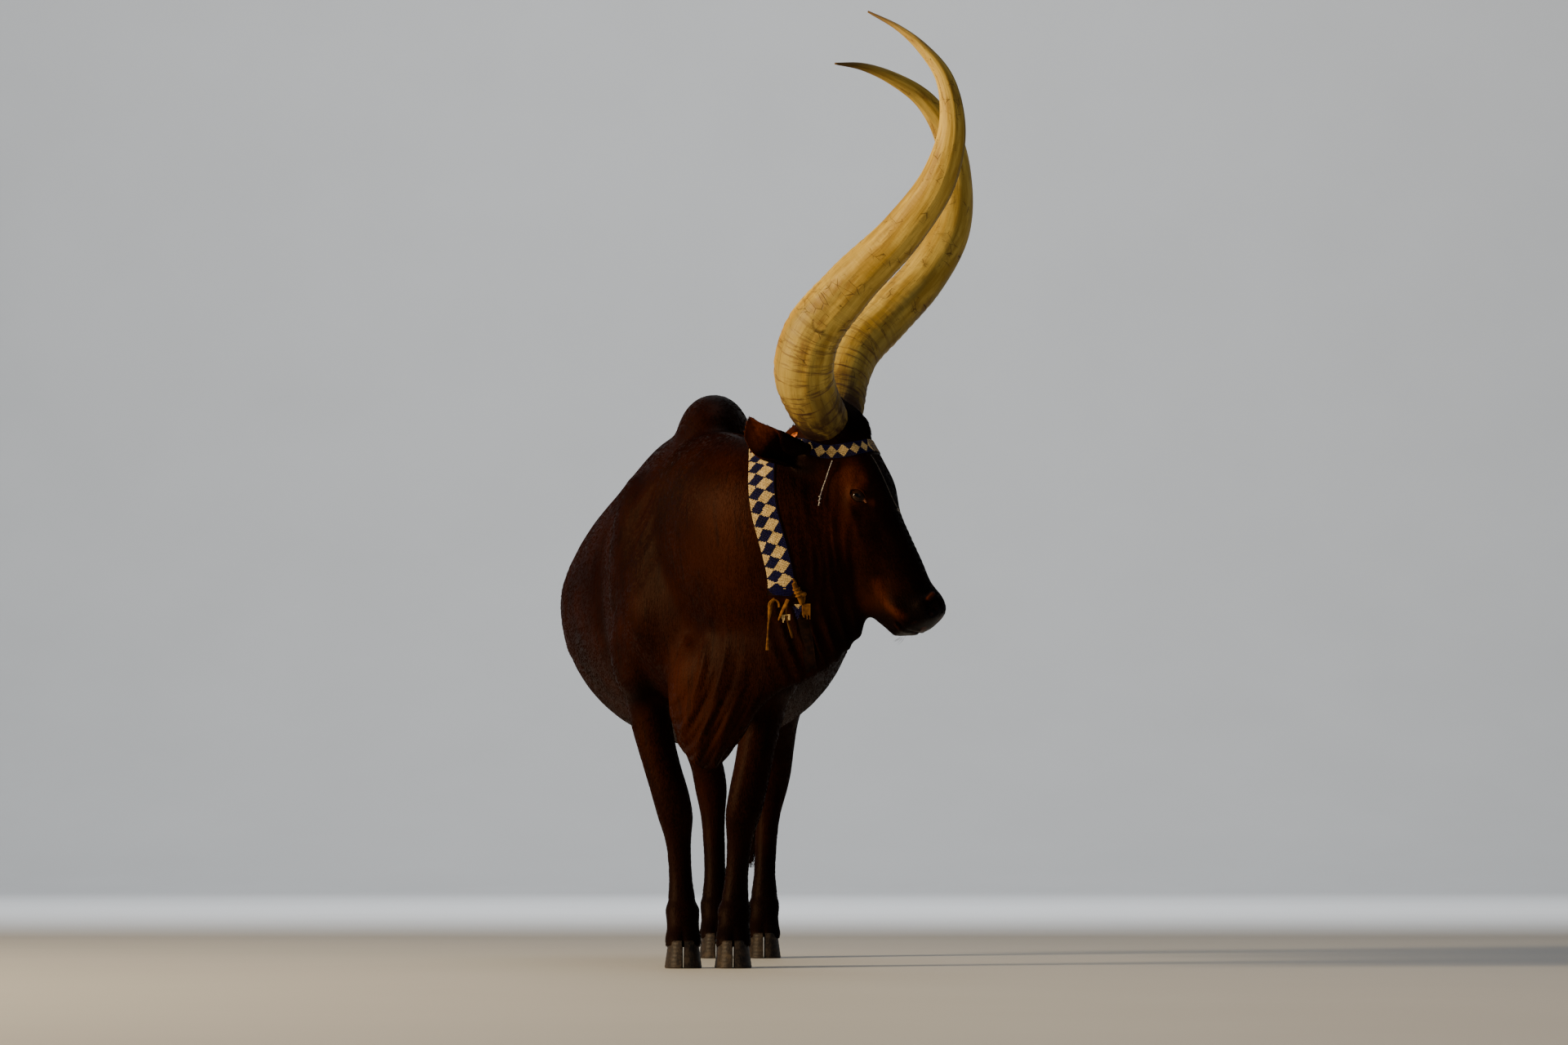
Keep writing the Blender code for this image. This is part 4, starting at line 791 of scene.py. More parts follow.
def body_folds(points, normals):
    """Loose skin: throat and neck wrinkles, brisket folds, and muscle under the hide."""
    x, y, z = points.T
    push = np.zeros(len(points))
    cheek_side = swell(points, (0.262, -1.10, 0.990), (0.105, 0.10, 0.25))
    lean = x + 0.10 * (z - 1.0) + 0.006 * np.sin(z * 23 + x * 31)
    depth = 0.0009 + 0.0007 * np.sin(x * 61 + z * 7) + 0.0007 * np.sin(z * 19 - x * 37)
    bends = 1.6 * np.sin(z * 9) + 1.2 * np.sin(x * 70)
    push -= depth * cheek_side * wave(2 * math.pi * lean / 0.0235 + bends)
    far_side = swell(points, (0.300, -0.90, 1.000), (0.10, 0.10, 0.22))
    push -= 0.0030 * far_side * wave(2 * math.pi * lean / 0.026)
    throat = swell(points, (0.25, -1.02, 0.80), (0.15, 0.12, 0.16))
    push -= 0.0045 * throat * wave(2 * math.pi * (x + 0.30 * (z - 0.8)) / 0.036 + np.sin(z * 17))
    front = swell(points, (0.01, -0.86, 0.65), (0.14, 0.16, 0.24))
    folds = x - 0.20 * (z - 0.60) + 0.012 * np.sin(z * 14 + 1.0)
    push -= 0.0070 * front * wave(2 * math.pi * folds / 0.050)
    push -= 0.0020 * front * wave(2 * math.pi * (folds + 0.3 * y) / 0.019 + 2.0)
    chest = swell(points, (0.0, -0.80, 0.95), (0.20, 0.10, 0.20))
    push -= 0.0018 * chest * wave(2 * math.pi * (x * 0.8 + 0.12 * np.sin(z * 6)) / 0.060)
    for side in (1, -1):
        neck = swell(points, (0.02 + side * 0.15, -0.70, 1.10), (0.10, 0.16, 0.22))
        push -= 0.0030 * neck * wave(2 * math.pi * (y + 0.35 * z) / 0.052 + 0.8 * np.sin(z * 9))
        for height, width, route in BODY_LINES:
            push += height * groove(points, [on_side(side, spot) for spot in route], width)
        for k in range(RIBS):
            back = RIB_PITCH * k
            rib = [(side * reach, start + back, high) for reach, start, high in RIB_LINE]
            push += 0.0026 * groove(points, rib, 0.018)
        push += 0.012 * swell(points, (0.045 + side * 0.175, 0.330, 1.235), (0.055, 0.060, 0.045))
    return points + push[:, None] * normals


def bell(value, width):
    return np.exp(-(value / width) ** 2)


def leg_forms(points, normals):
    """Tendons, knee, hock and fetlock under the skin."""
    push = np.zeros(len(points))
    for rows, sign in ((FORELEG_ROWS, 1), (HINDLEG_ROWS, -1)):
        table = np.array(rows)
        for column in (1, 2):
            order = np.argsort(table[:, 0])
            cx = np.interp(points[:, 2], table[order, 0], table[order, column])
            cy = np.interp(points[:, 2], table[order, 0], table[order, 3])
            near = np.exp(-((points[:, 0] - cx) ** 2 + (points[:, 1] - cy) ** 2) / 0.075**2)
            span = np.interp(points[:, 2], (0.16, 0.20, 0.34, 0.40), (0, 1, 1, 0))
            behind = points[:, 1] - cy
            for across in (1, -1):
                dent = bell(points[:, 0] - cx - across * 0.030, 0.014) * bell(behind - 0.014, 0.009)
                push -= 0.0055 * dent * span * near
            knee = 0.43 if sign == 1 else 0.50
            cap = bell(points[:, 2] - knee, 0.035) * bell(behind + sign * 0.045, 0.030)
            push += 0.004 * cap * near
            push -= 0.003 * near * bell(points[:, 2] - 0.165, 0.012)
            split = bell(points[:, 0] - cx, 0.007) * band_step(0.115 - points[:, 2], 0.0, 0.05)
            push -= 0.007 * split * near
    return points + push[:, None] * normals


def beside(local, side):
    """The same places with one side of the face pressed flat, for marks drawn on it from the side."""
    flat = local.copy()
    flat[:, 1] = np.where(side * flat[:, 1] > 0.028, side * FLANK, flat[:, 1])
    return flat


def on_flank(side, route):
    return [(f, side * FLANK, d) for f, d in route]


def lid_fold(side, k, above):
    """The k-th skin fold over or under the eye, as an arc round its lids."""
    forward, right, front = EYE_PLACE
    if above:
        lift, slip, drift, turns = 0.026 + 0.0085 * k, 0.012, 0.004 * k, np.linspace(0.5, 2.9, 5)
    else:
        lift, slip, drift, turns = -(0.020 + 0.009 * k), 0.008, 0.0, np.linspace(0.3, 2.7, 5)
    out = 0.004 if above else 0.002
    return [(forward + 0.030 * math.cos(a) - drift, side * (right + out),
             front + lift * math.sin(a) + slip * math.cos(a)) for a in turns]


def face_forms(points, normals):
    """Brow, lids, tear line, cheek creases, nostrils, lips and mouth."""
    local = in_head_frame(points)
    near = (np.abs(local[:, 1]) < 0.2) & (local[:, 0] > -0.12) & (local[:, 0] < 0.58) & (local[:, 2] > -0.34)
    some = local[near]
    push = np.zeros(len(some))
    for side in (1, -1):
        flank = beside(some, side)
        for height, width, route in MUZZLE_LINES:
            push += height * groove(flank, on_flank(side, route), width)
        for height, width, route in FACE_LINES:
            push += height * groove(some, head_line(side, route), width)
        for k in range(3):
            back = 0.013 * k
            corner = ((0.404 - back, 0.070, -0.150), (0.412 - back, 0.071, -0.172),
                      (0.426 - 0.012 * k, 0.066, -0.190))
            push -= 0.0018 * groove(some, head_line(side, corner), 0.0045)
        for k in range(4):
            push -= 0.0022 * groove(some, lid_fold(side, k, above=True), 0.0036)
        for k in range(2):
            push -= 0.0020 * groove(some, lid_fold(side, k, above=False), 0.0040)
    push += 0.0020 * groove(some, ((0.00, 0.0, -0.010), (0.10, 0.0, -0.010)), 0.030)
    push -= 0.0030 * groove(some, ((0.520, 0.0, -0.040), (0.534, 0.0, -0.070), (0.536, 0.0, -0.098)), 0.0045)
    push -= 0.0006 * np.sin(some[:, 0] * 420) * swell(some, (0.300, 0.0, -0.010), (0.10, 0.05, 0.03))
    moved = points.copy()
    moved[near] += push[:, None] * normals[near]
    return moved


def lid_opening(side):
    """A lens-shaped prism from inside the eyeball outwards."""
    rings = []
    for reach in (0.004, 0.080):
        rings.append(np.array([eye_point(side, a, b, reach) for a, b in lens_outline(1.14, 28)]))
    return loft("opening", rings)


def eye_point(side, a, b, out):
    """A place by the eye: along its long way, its high way and outwards from its middle."""
    forward, right, front = EYE_PLACE
    long_way = (math.cos(EYE_TILT), math.sin(EYE_TILT))
    return head_point((forward + a * long_way[0] - b * long_way[1], side * (right + out),
                       front + a * long_way[1] + b * long_way[0]))


def lens_outline(size, count):
    turn = np.linspace(0.0, 2 * math.pi, count, endpoint=False)
    high = np.sign(np.sin(turn)) * np.abs(np.sin(turn)) ** 1.2
    return np.stack([np.cos(turn) * EYE_OPENING[0] * size, high * EYE_OPENING[1] * size], axis=1)


def face_zone(centres):
    """The faces of the front of the head, which get a finer mesh."""
    local = in_head_frame(centres)
    return (local[:, 0] > 0.09) & (np.abs(local[:, 1]) < 0.14) & (local[:, 2] > -0.20) & (local[:, 0] < 0.56)


def face_centres(mesh):
    centres = np.empty(len(mesh.polygons) * 3)
    mesh.polygons.foreach_get("center", centres)
    return centres.reshape(-1, 3)


def select_faces(thing, wanted):
    """Goes into edit mode with the wanted faces selected."""
    alone(thing)
    bpy.ops.object.mode_set(mode="EDIT")
    bpy.ops.mesh.select_mode(type="FACE")
    bpy.ops.mesh.select_all(action="DESELECT")
    bpy.ops.object.mode_set(mode="OBJECT")
    thing.data.polygons.foreach_set("select", wanted)
    bpy.ops.object.mode_set(mode="EDIT")


def shape_flesh(body):
    """Blends the masses, lays the main forms on them and returns the surface that the bands lie on."""
    mesh = body.data
    edges, points = edge_ends(mesh), coordinates(mesh)
    local = in_head_frame(points)
    off_head = np.clip((-0.14 - local[:, 2]) / 0.12, 0, 1)
    off_head = np.maximum(off_head, np.clip((0.10 - points[:, 0]) / 0.1, 0, 1))
    up = np.clip((points[:, 2] - 0.42) / 0.20, 0, 1)
    slack = np.clip((0.80 - points[:, 1]) / 0.08, 0.1, 1)
    points = relax(points, edges, 0.6 * np.clip(off_head * up * slack, 0.22, 1), 60)
    move_points(mesh, points)
    points = main_forms(points, point_normals(mesh))
    move_points(mesh, points)
    return BVHTree.FromPolygons([Vector(p) for p in points], [tuple(f.vertices) for f in mesh.polygons])


def finish_skin(body, ears):
    """Fine forms, ears and lids' openings; the coat's depth taken off; fewer faces where it is plain."""
    select_faces(body, face_zone(face_centres(body.data)))
    bpy.ops.mesh.subdivide(number_cuts=1)
    bpy.ops.object.mode_set(mode="OBJECT")
    mesh = body.data
    points = coordinates(mesh)
    local = in_head_frame(points)
    fine = (local[:, 0] > 0.07) & (np.abs(local[:, 1]) < 0.15) & (local[:, 2] > -0.22)
    points = relax(points, edge_ends(mesh), 0.4 * fine, 3)
    move_points(mesh, points)
    for forms in (body_folds, leg_forms, face_forms):
        points = forms(points, point_normals(mesh))
        move_points(mesh, points)
    points = points - COAT * point_normals(mesh)
    move_points(mesh, points)
    for ear_thing in ears:
        boolean(body, ear_thing, "UNION")
    for side in (1, -1):
        boolean(body, lid_opening(side), "DIFFERENCE")
    soften_ear_roots(body)
    centres = face_centres(body.data)
    ear_near = np.zeros(len(centres), bool)
    for rows in (RIGHT_EAR[1], LEFT_EAR[1]):
        for row in rows:
            ear_near |= np.linalg.norm(centres - np.array(row[:3]), axis=1) < EAR_NEAR
    select_faces(body, ~(face_zone(centres) | ear_near))
    bpy.ops.mesh.decimate(ratio=BODY_SHARE)
    bpy.ops.object.mode_set(mode="OBJECT")


def soften_ear_roots(body):
    """Rounds the crease where each ear leaves the head."""
    points = coordinates(body.data)
    weight = np.zeros(len(points))
    for rows in (RIGHT_EAR[1], LEFT_EAR[1]):
        root = np.array(rows[0][:3])
        weight = np.maximum(weight, 1 - band_step(np.linalg.norm(points - root, axis=1), 0.040, 0.075))
    move_points(body.data, relax(points, edge_ends(body.data), 0.5 * weight, 45))


# Ears, horns, eyes and hooves

def ear(cup, rows, stations=48, spread_count=25):
    """A leaf rolled to a tube at its root that opens out to a cup, its inside ribbed."""
    rows = along(rows, stations)
    spread = np.linspace(-1, 1, spread_count)
    rings = []
    for k, row in enumerate(rows):
        t = k / (stations - 1)
        axis = unit(rows[min(k + 1, stations - 1), :3] - rows[max(k - 1, 0), :3])
        face = unit(np.array(cup) - axis * (np.array(cup) @ axis))
        wide = np.cross(axis, face)
        tall = max(row[3], 0.0030)
        deep = min(0.016, 0.55 * tall)
        turn = spread * math.radians(158 - 78 * band_step(t, 0.46, 0.78))
        turn = turn + 0.22 * (1 - band_step(t, 0.3, 0.7))
        thick = min(0.0036 + 0.0030 * (1 - t) ** 2, 0.55 * tall)
        ribs = 0.0009 * np.cos(spread * 5 * math.pi) * math.sin(math.pi * t)
        notch = 1 + 0.03 * math.sin(9 * t + 1.0)
        inner = np.stack([tall * notch * np.sin(turn), -(deep - ribs) * np.cos(turn)], axis=1)
        out = units(np.stack([np.sin(turn) / tall, -np.cos(turn) / deep], axis=1))
        outer = inner + thick * (1.0 - 0.55 * np.abs(spread))[:, None] * out
        loop = np.concatenate([inner, outer[::-1]])
        rings.append(row[:3] + loop[:, :1] * wide + loop[:, 1:] * face)
    return loft("ear", rings)


def horn(name, rows, stations=190, sides=56):
    """A lyre horn with growth rings near its root, lengthwise ridges and small dents."""
    draw = np.random.default_rng(SEED + len(name))
    line = along(rows, stations)
    length = np.concatenate([[0.0], np.cumsum(np.linalg.norm(np.diff(line[:, :3], axis=0), axis=1))])
    turn = np.linspace(0.0, 2 * math.pi, sides, endpoint=False)
    ridges = sum(draw.uniform(0.2, 0.5) * np.cos(n * turn + draw.uniform(0, 6)) for n in (7, 11, 17, 23))
    ring_places = np.cumsum(draw.uniform(0.014, 0.034, 40)) + 0.05
    rings, grain = [], []
    for row, (_, side, over), reach in zip(line, carried_frames(line[:, :3]), length):
        near_root = 1 - band_step(reach, 0.15, 0.75)
        step = np.exp(-((reach - ring_places[:, None] - 0.002 * np.sin(3 * turn)) / 0.0035) ** 2).sum(axis=0)
        rough = 0.0007 * ridges * band_step(row[3], 0.012, 0.03) - 0.0016 * near_root * step
        rough = rough + 0.0006 * near_root * np.sin(reach * 260 + 2 * np.sin(turn * 2))
        radius = (row[3] + rough)[:, None]
        rings.append(row[:3] + radius * (np.cos(turn)[:, None] * side + np.sin(turn)[:, None] * over))
        grain.append(np.stack([GRAIN_RADIUS * np.cos(turn), GRAIN_RADIUS * np.sin(turn),
                               np.full(sides, reach)], axis=1))
    made = loft(name, rings)
    give(made.data, "grain", np.concatenate(grain))
    give(made.data, "share", np.repeat(length / length[-1], sides))
    return made


def eyeball(name, side):
    """A ball with a raised cornea that remembers where its gaze is."""
    bpy.ops.mesh.primitive_uv_sphere_add(segments=64, ring_count=40, radius=EYE_RADIUS)
    made = bpy.context.object
    made.name = name
    forward, right, front = EYE_PLACE
    points = coordinates(made.data)
    long_way = math.cos(EYE_TILT) * TO_MUZZLE + math.sin(EYE_TILT) * TO_FRONT
    high_way = -math.sin(EYE_TILT) * TO_MUZZLE + math.cos(EYE_TILT) * TO_FRONT
    out = side * TO_RIGHT
    bulge = band_step(points[:, 2] / EYE_RADIUS, 0.55, 0.95)
    points = points * (1 + 0.045 * bulge)[:, None]
    give(made.data, "gaze", points / EYE_RADIUS)
    placed = head_point((forward, side * right, front)) + points @ np.stack([long_way, high_way, out])
    move_points(made.data, placed)
    face_outwards(made)
    return made


def eyelids(name, side, tree):
    """A soft rim of skin from the hide down to the eyeball, round the opening."""
    rings = []
    count = 72
    for size, kind in ((1.62, "skin"), (1.42, "skin"), (1.26, "swell"), (1.14, "swell"),
                       (1.05, "edge"), (1.01, "lip"), (0.99, "in")):
        ring = []
        for a, b in lens_outline(size, count):
            on_ball = math.sqrt(max((EYE_RADIUS + 0.0010) ** 2 - a * a - b * b, 0.0060**2))
            start = eye_point(side, a, b, 0.060)
            met = tree.ray_cast(Vector(start), Vector(-side * TO_RIGHT), 0.12)[0]
            skin = (np.array(met) - eye_point(side, a, b, 0.0)) @ (side * TO_RIGHT) if met else on_ball
            upper = max(b, 0.0) / EYE_OPENING[1]
            out = {"skin": skin - COAT - (0.0012 if size > 1.6 else -0.0002),
                   "swell": 0.45 * (skin - COAT) + 0.55 * on_ball + 0.0022 + 0.0016 * upper,
                   "edge": on_ball + 0.0026 + 0.0010 * upper,
                   "lip": on_ball + 0.0008,
                   "in": on_ball - 0.0016}[kind]
            ring.append(eye_point(side, a, b, out))
        rings.append(np.array(ring))
    points = np.concatenate(rings)
    faces = []
    for start in range(0, (len(rings) - 1) * count, count):
        for i in range(count):
            j = (i + 1) % count
            faces.append((start + i, start + j, start + count + j, start + count + i))
    made = mesh_object(name, points, faces)
    centre = eye_point(side, 0, 0, 0)
    middle = made.data.polygons[0]
    if (np.array(middle.center) - centre) @ np.array(middle.normal) < 0:
        made.data.flip_normals()
    give(made.data, "bare", np.repeat((0.0, 0.0, 0.0, 0.0, 0.25, 0.5, 0.5), count))
    apply_step(made, "SUBSURF", levels=1, render_levels=1)
    return made


def tear_corner(name, side, look):
    """The wet fold of flesh in the inner corner of an eye."""
    folds = []
    for a, b, size in ((0.0180, -0.0006, 0.0034), (0.0205, -0.0012, 0.0030), (0.0228, -0.0022, 0.0024)):
        folds.append(ball("fold", eye_point(side, a, b, 0.0098 - 0.25 * (a - 0.018)), (size, size, size), 3))
    made = joined(name, folds)
    smooth(made)
    place(made, look, "hide")


def claw(name, x, y, outward):
    """One half of a cloven hoof with its growth rings, flat below."""
    turn = np.linspace(-math.pi / 2, math.pi / 2, 25)
    outline = []
    for a in turn:
        outline.append((0.0035 + 0.042 * max(math.cos(a), 0.0) ** 0.75,
                        0.056 * math.sin(a) * (1.0 + 0.12 * math.sin(a))))
    outline += [(0.0008 + 0.0024 * band_step(v, -0.02, 0.02), v) for v in np.linspace(0.046, -0.040, 9)]
    levels = [(0.0, 0.965, 0.0), (0.0015, 0.990, 0.0)]
    for height in np.linspace(0.004, 0.064, 26):
        share = (height - 0.004) / 0.060
        ridge = 0.010 * abs(math.sin(share * 19)) ** 3
        levels.append((height, 1.0 - 0.20 * share - ridge, 0.014 * share))
    levels.append((0.067, 0.76, 0.015))
    rings = []
    for height, size, back in levels:
        rings.append(np.array([(x + outward * (0.0030 + (across - 0.0030) * size),
                                y - ahead * size + back, height) for across, ahead in outline]))
    made = loft(name, rings)
    smooth(made, 50)
    return made


def dewclaw(name, x, y, z, outward):
    rows = ((x, y - 0.014, z + 0.012, 0.0110), (x + 0.001 * outward, y - 0.002, z + 0.004, 0.0125),
            (x + 0.002 * outward, y + 0.006, z - 0.008, 0.0105),
            (x + 0.003 * outward, y + 0.008, z - 0.018, 0.0060))
    made = sweep(name, rows, 24, 22)
    smooth(made, 60)
    return made


def feet(look):
    """Every claw and dewclaw, each in place of its own node."""
    for leg, rows in (("fore", FORELEG_ROWS), ("hind", HINDLEG_ROWS)):
        sole, fetlock = rows[-1], rows[-4]
        for side, column in (("right", 1), ("left", 2)):
            for half, outward in (("a", -1), ("b", 1)):
                end = f"{leg}_{side}_{half}"
                made = claw(f"claw_{end}", sole[column], sole[3] - 0.006, outward)
                place(made, look, "hoof", f"hoof_{end}")
                at = (fetlock[column] + outward * 0.024, fetlock[3] + fetlock[6] - 0.006, 0.118, outward)
                place(dewclaw(f"spur_{end}", *at), look, "hoof", f"dewclaw_{end}")


# Bands and their beads

def band_course(tree, route, closed):
    """Places, outward directions and distances of a band's middle line laid on the hide."""
    route = np.asarray(route, float)
    count = 40 if closed else 62
    if closed:
        dense = along(np.concatenate([route[-3:], route, route[:3]]), count * 8)
        start = np.argmin(np.linalg.norm(dense[: len(dense) // 2] - route[0], axis=1))
        later = start + 20 + np.argmin(np.linalg.norm(dense[start + 20:] - route[0], axis=1))
        line = dense[np.linspace(start, later, count, endpoint=False).astype(int)]
    else:
        line = along(route, count)
    for _ in range(3):
        line = np.array([tree.find_nearest(Vector(p))[0][:] for p in line])
        before, after = np.roll(line, 1, axis=0), np.roll(line, -1, axis=0)
        blend = 0.5 * line + 0.25 * (before + after)
        if not closed:
            blend[0], blend[-1] = line[0], line[-1]
        line = blend
    normals = np.array([tree.find_nearest(Vector(p))[1][:] for p in line])
    for _ in range(4):
        normals = units(normals + 0.5 * (np.roll(normals, 1, axis=0) + np.roll(normals, -1, axis=0)))
    return line, normals


def band_surface(tree, route, width, closed):
    """A grid of places on the hide under a band, its outward directions and the distance along it."""
    line, normals = band_course(tree, route, closed)
    count, shares = len(line), np.linspace(-0.5, 0.5, 4)
    lifts, sides = np.zeros((count, 4)), []
    for k, spot in enumerate(line):
        ahead = line[(k + 1) % count] - line[k - 1] if closed else (
            line[min(k + 1, count - 1)] - line[max(k - 1, 0)])
        narrowing = 1.0 if closed else 1.0 - 0.58 * min(max((k / count - TAIL_STARTS) / 0.06, 0.0), 1.0)
        sides.append(unit(np.cross(normals[k], unit(ahead))) * width * narrowing)
        for m, share in enumerate(shares):
            aim = spot + sides[k] * share
            met = tree.ray_cast(Vector(aim + 0.04 * normals[k]), Vector(-normals[k]), 0.08)[0]
            lifts[k, m] = (np.array(met) - aim) @ normals[k] if met else -0.01
    lifts = np.clip(lifts, -0.020, 0.008)
    for _ in range(3):
        lifts = 0.5 * lifts + 0.25 * (np.roll(lifts, 1, axis=0) + np.roll(lifts, -1, axis=0))
    grid = np.array([[spot + side * s + n * rise for s, rise in zip(shares, row)]
                     for spot, side, n, row in zip(line, sides, normals, lifts)])
    return grid, normals


def finer_band(grid, normals, closed, factor, across):
    """The band's grid read at more stations and more places across."""
    if closed:
        grid, normals = np.concatenate([grid, grid[:1]]), np.concatenate([normals, normals[:1]])
    at = np.linspace(0, len(grid) - 1, (len(grid) - 1) * factor + 1)
    low = np.minimum(at.astype(int), len(grid) - 2)
    t = (at - low)[:, None, None]
    before, after = np.maximum(low - 1, 0), np.minimum(low + 2, len(grid) - 1)
    if closed:
        before = np.where(low == 0, len(grid) - 2, low - 1)
        after = np.where(low + 2 > len(grid) - 1, 1, low + 2)
    m0, m1 = (grid[low + 1] - grid[before]) / 2, (grid[after] - grid[low]) / 2
    fine = ((2 * t**3 - 3 * t**2 + 1) * grid[low] + (t**3 - 2 * t**2 + t) * m0
            + (3 * t**2 - 2 * t**3) * grid[low + 1] + (t**3 - t**2) * m1)
    out = units(normals[low] * (1 - t[:, 0]) + normals[low + 1] * t[:, 0])
    share = np.linspace(0, 3, across)
    left = np.minimum(share.astype(int), 2)
    part = (share - left)[None, :, None]
    return fine[:, left] * (1 - part) + fine[:, left + 1] * part, out


def backing(name, grid, normals, closed):
    """The leather that the beads are sewn on, with a raised, rounded edge."""
    across = grid.shape[1]
    edge = np.linspace(-1, 1, across)
    top = (BAND_THICKNESS - BAND_SINK - 0.0022) + 0.0016 * (np.abs(edge) > 0.93)
    top = top - 0.0012 * (np.abs(edge) > 0.99)
    rings = []
    for row, n in zip(grid, normals):
        lower = row[1:-1:4] - n * BAND_SINK
        rings.append(np.concatenate([lower, (row + n * top[:, None])[::-1]]))
    if closed:
        rings = rings[:-1]
    made = loft(name, rings, closed)
    smooth(made, 45)
    return made


def bead_shape():
    """Half a barrel, the part of a sewn bead that shows: across, along and out from its middle."""
    turn = np.linspace(0.0, math.pi, 5)
    points = []
    for reach, size in ((-0.47, 0.74), (0.0, 1.0), (0.47, 0.74)):
        points += [(reach, -math.cos(a) * 0.5 * size, math.sin(a) * 0.62 * size) for a in turn]
    faces = [(k * 5 + i, k * 5 + i + 1, k * 5 + i + 6, k * 5 + i + 5) for k in range(2) for i in range(4)]
    return np.array(points), np.array(faces)


def bead_rows(name, grid, normals, pitch, keep, wanted):
    """Beads row by row over a band; keep(across, along) says if a bead of this colour goes there."""
    draw = np.random.default_rng(SEED)
    middle = grid[:, grid.shape[1] // 2]
    reach = np.concatenate([[0.0], np.cumsum(np.linalg.norm(np.diff(middle, axis=0), axis=1))])
    shape, faces = bead_shape()
    points, tones = [], []
    for v in np.arange(pitch / 2, reach[-1], pitch):
        if not wanted(v, reach[-1]):
            continue
        k = min(int(np.searchsorted(reach, v)) - 1, len(grid) - 2)
        t = (v - reach[k]) / (reach[k + 1] - reach[k])
        row = grid[k] * (1 - t) + grid[k + 1] * t
        ahead = unit(grid[k + 1, grid.shape[1] // 2] - grid[k, grid.shape[1] // 2])
        width = np.linalg.norm(row[-1] - row[0])
        count = max(int(width * 0.955 / pitch), 1)
        for c in range(count):
            share = (c + 0.5) / count * 0.955 + 0.0225
            u = (share - 0.5) * width
            if not keep(u, v):
                continue
            at = share * (len(row) - 1)
            low = min(int(at), len(row) - 2)
            spot = row[low] * (1 - at + low) + row[low + 1] * (at - low)
            side = unit(row[low + 1] - row[low])
            n = unit(np.cross(side, ahead))
            n = n if n @ normals[k] > 0 else -n
            size = pitch * draw.uniform(0.90, 1.04)
            wobble = draw.uniform(-0.10, 0.10, 2) * pitch
            spot = spot + n * (BAND_THICKNESS - BAND_SINK - 0.0020)
            spot = spot + side * wobble[0] + ahead * wobble[1] * 0.6
            points.append(spot + size * (shape[:, :1] * side + shape[:, 1:2] * ahead + shape[:, 2:] * n))
            tones.append(np.full(len(shape), draw.uniform()))
    total = len(points)
    all_faces = (faces[None] + np.arange(total)[:, None, None] * len(shape)).reshape(-1, 4)
    made = mesh_object(name, np.concatenate(points), all_faces, outward=False)
    if np.array(made.data.polygons[1].normal) @ normals[0] < 0:
        made.data.flip_normals()
    give(made.data, "tone", np.concatenate(tones))
    smooth(made)
    return made


def strap_is_cream(u, v, length):
    """Lozenges in four columns, their rows a little tilted; None where the narrow lower end has no beads."""
    if abs(u + 0.002) >= 0.019 + 0.016 * v / STRAP_NAVY_END:
        return None
    if v < STRAP_NAVY_END:
        return False
    lean = v + 0.22 * u + 2.0 * u * u - STRAP_PATTERN_START
    column = (STRAP_WIDTH / 2 - u) / LOZENGE_WIDTH
    for near in (math.floor(column), math.floor(column) + 1):
        shift = 0.0 if near % 2 == 0 else 0.5
        off = lean / LOZENGE_PITCH - shift
        if abs(column - near) + 2 * abs(off - round(off)) <= 1.0:
            return near % 2 == 0
    return False


def headband_is_cream(u, v, length):
    """One row of diamonds, and thin slanted stripes over the forehead."""
    middle = (v + length / 2) % length - length / 2
    if abs(middle) < STRIPES_REACH:
        return (middle + 0.45 * u) % STRIPE_PITCH < STRIPE_WIDTH
    count = round(length / DIAMOND_PITCH)
    pitch = length / count
    off = v / pitch
    return 2 * abs(off - round(off)) * 1.08 + abs(u) / (HEADBAND_WIDTH / 2) * 1.20 <= 1.0


def headband_route():
    """The whole ring from the half given for the right side."""
    right = [head_point(p) for p in HEADBAND_ROUTE]
    return right + [head_point((f, -r, d)) for f, r, d in HEADBAND_ROUTE[-2:0:-1]]


def dress_band(name, node, looks, surface, closed, wanted, is_cream):
    """A band's leather backing, then its cream beads and its navy ones."""
    grid, out = finer_band(*surface, closed, *((5, 13) if closed else (6, 25)))
    back = backing(f"{name}_leather", grid, out, closed)
    BAND_TREES.append(tree_of(back.data))
    place(back, looks["leather"], "leather", node)
    middle = grid[:, 6]
    length = np.linalg.norm(np.diff(middle, axis=0), axis=1).sum()
    for colour, cream in (("cream", True), ("navy", False)):
        made = bead_rows(f"{name}_{colour}_beads", grid, out, BEAD_PITCH,
                         lambda u, v: is_cream(u, v, length) == cream, wanted)
        place(made, looks[colour], "beadwork", node)


def dress_bands(tree, looks):
    """Headband and neck strap."""
    ring = band_surface(tree, headband_route(), HEADBAND_WIDTH, True)
    dress_band("headband", "headband", looks, ring, True,
               lambda v, end: v < end - BEAD_PITCH / 2, headband_is_cream)
    strip = band_surface(tree, STRAP_ROUTE, STRAP_WIDTH, False)
    dress_band("strap", "neck_strap", looks, strip, False,
               lambda v, end: 0.004 < v < TAIL_STARTS * end, strap_is_cream)


# Thongs, strings and the tag

def route_length(route):
    return float(np.linalg.norm(np.diff(route, axis=0), axis=1).sum())


def thong(name, route, node, look, widths):
    """A flat leather thong, its edges a little uneven and its end spread."""
    line = along(route, 24)
    t = np.linspace(0, 1, 24)
    half = THONG_DIAMETER / 2 * np.interp(t, np.linspace(0, 1, len(widths)), widths)
    made = sweep(name, np.column_stack([line, 0.42 * half]), 12, flat=1 / 0.42)
    smooth(made, 60)
    place(made, look, "leather", node)
    moved = line + SHIFT


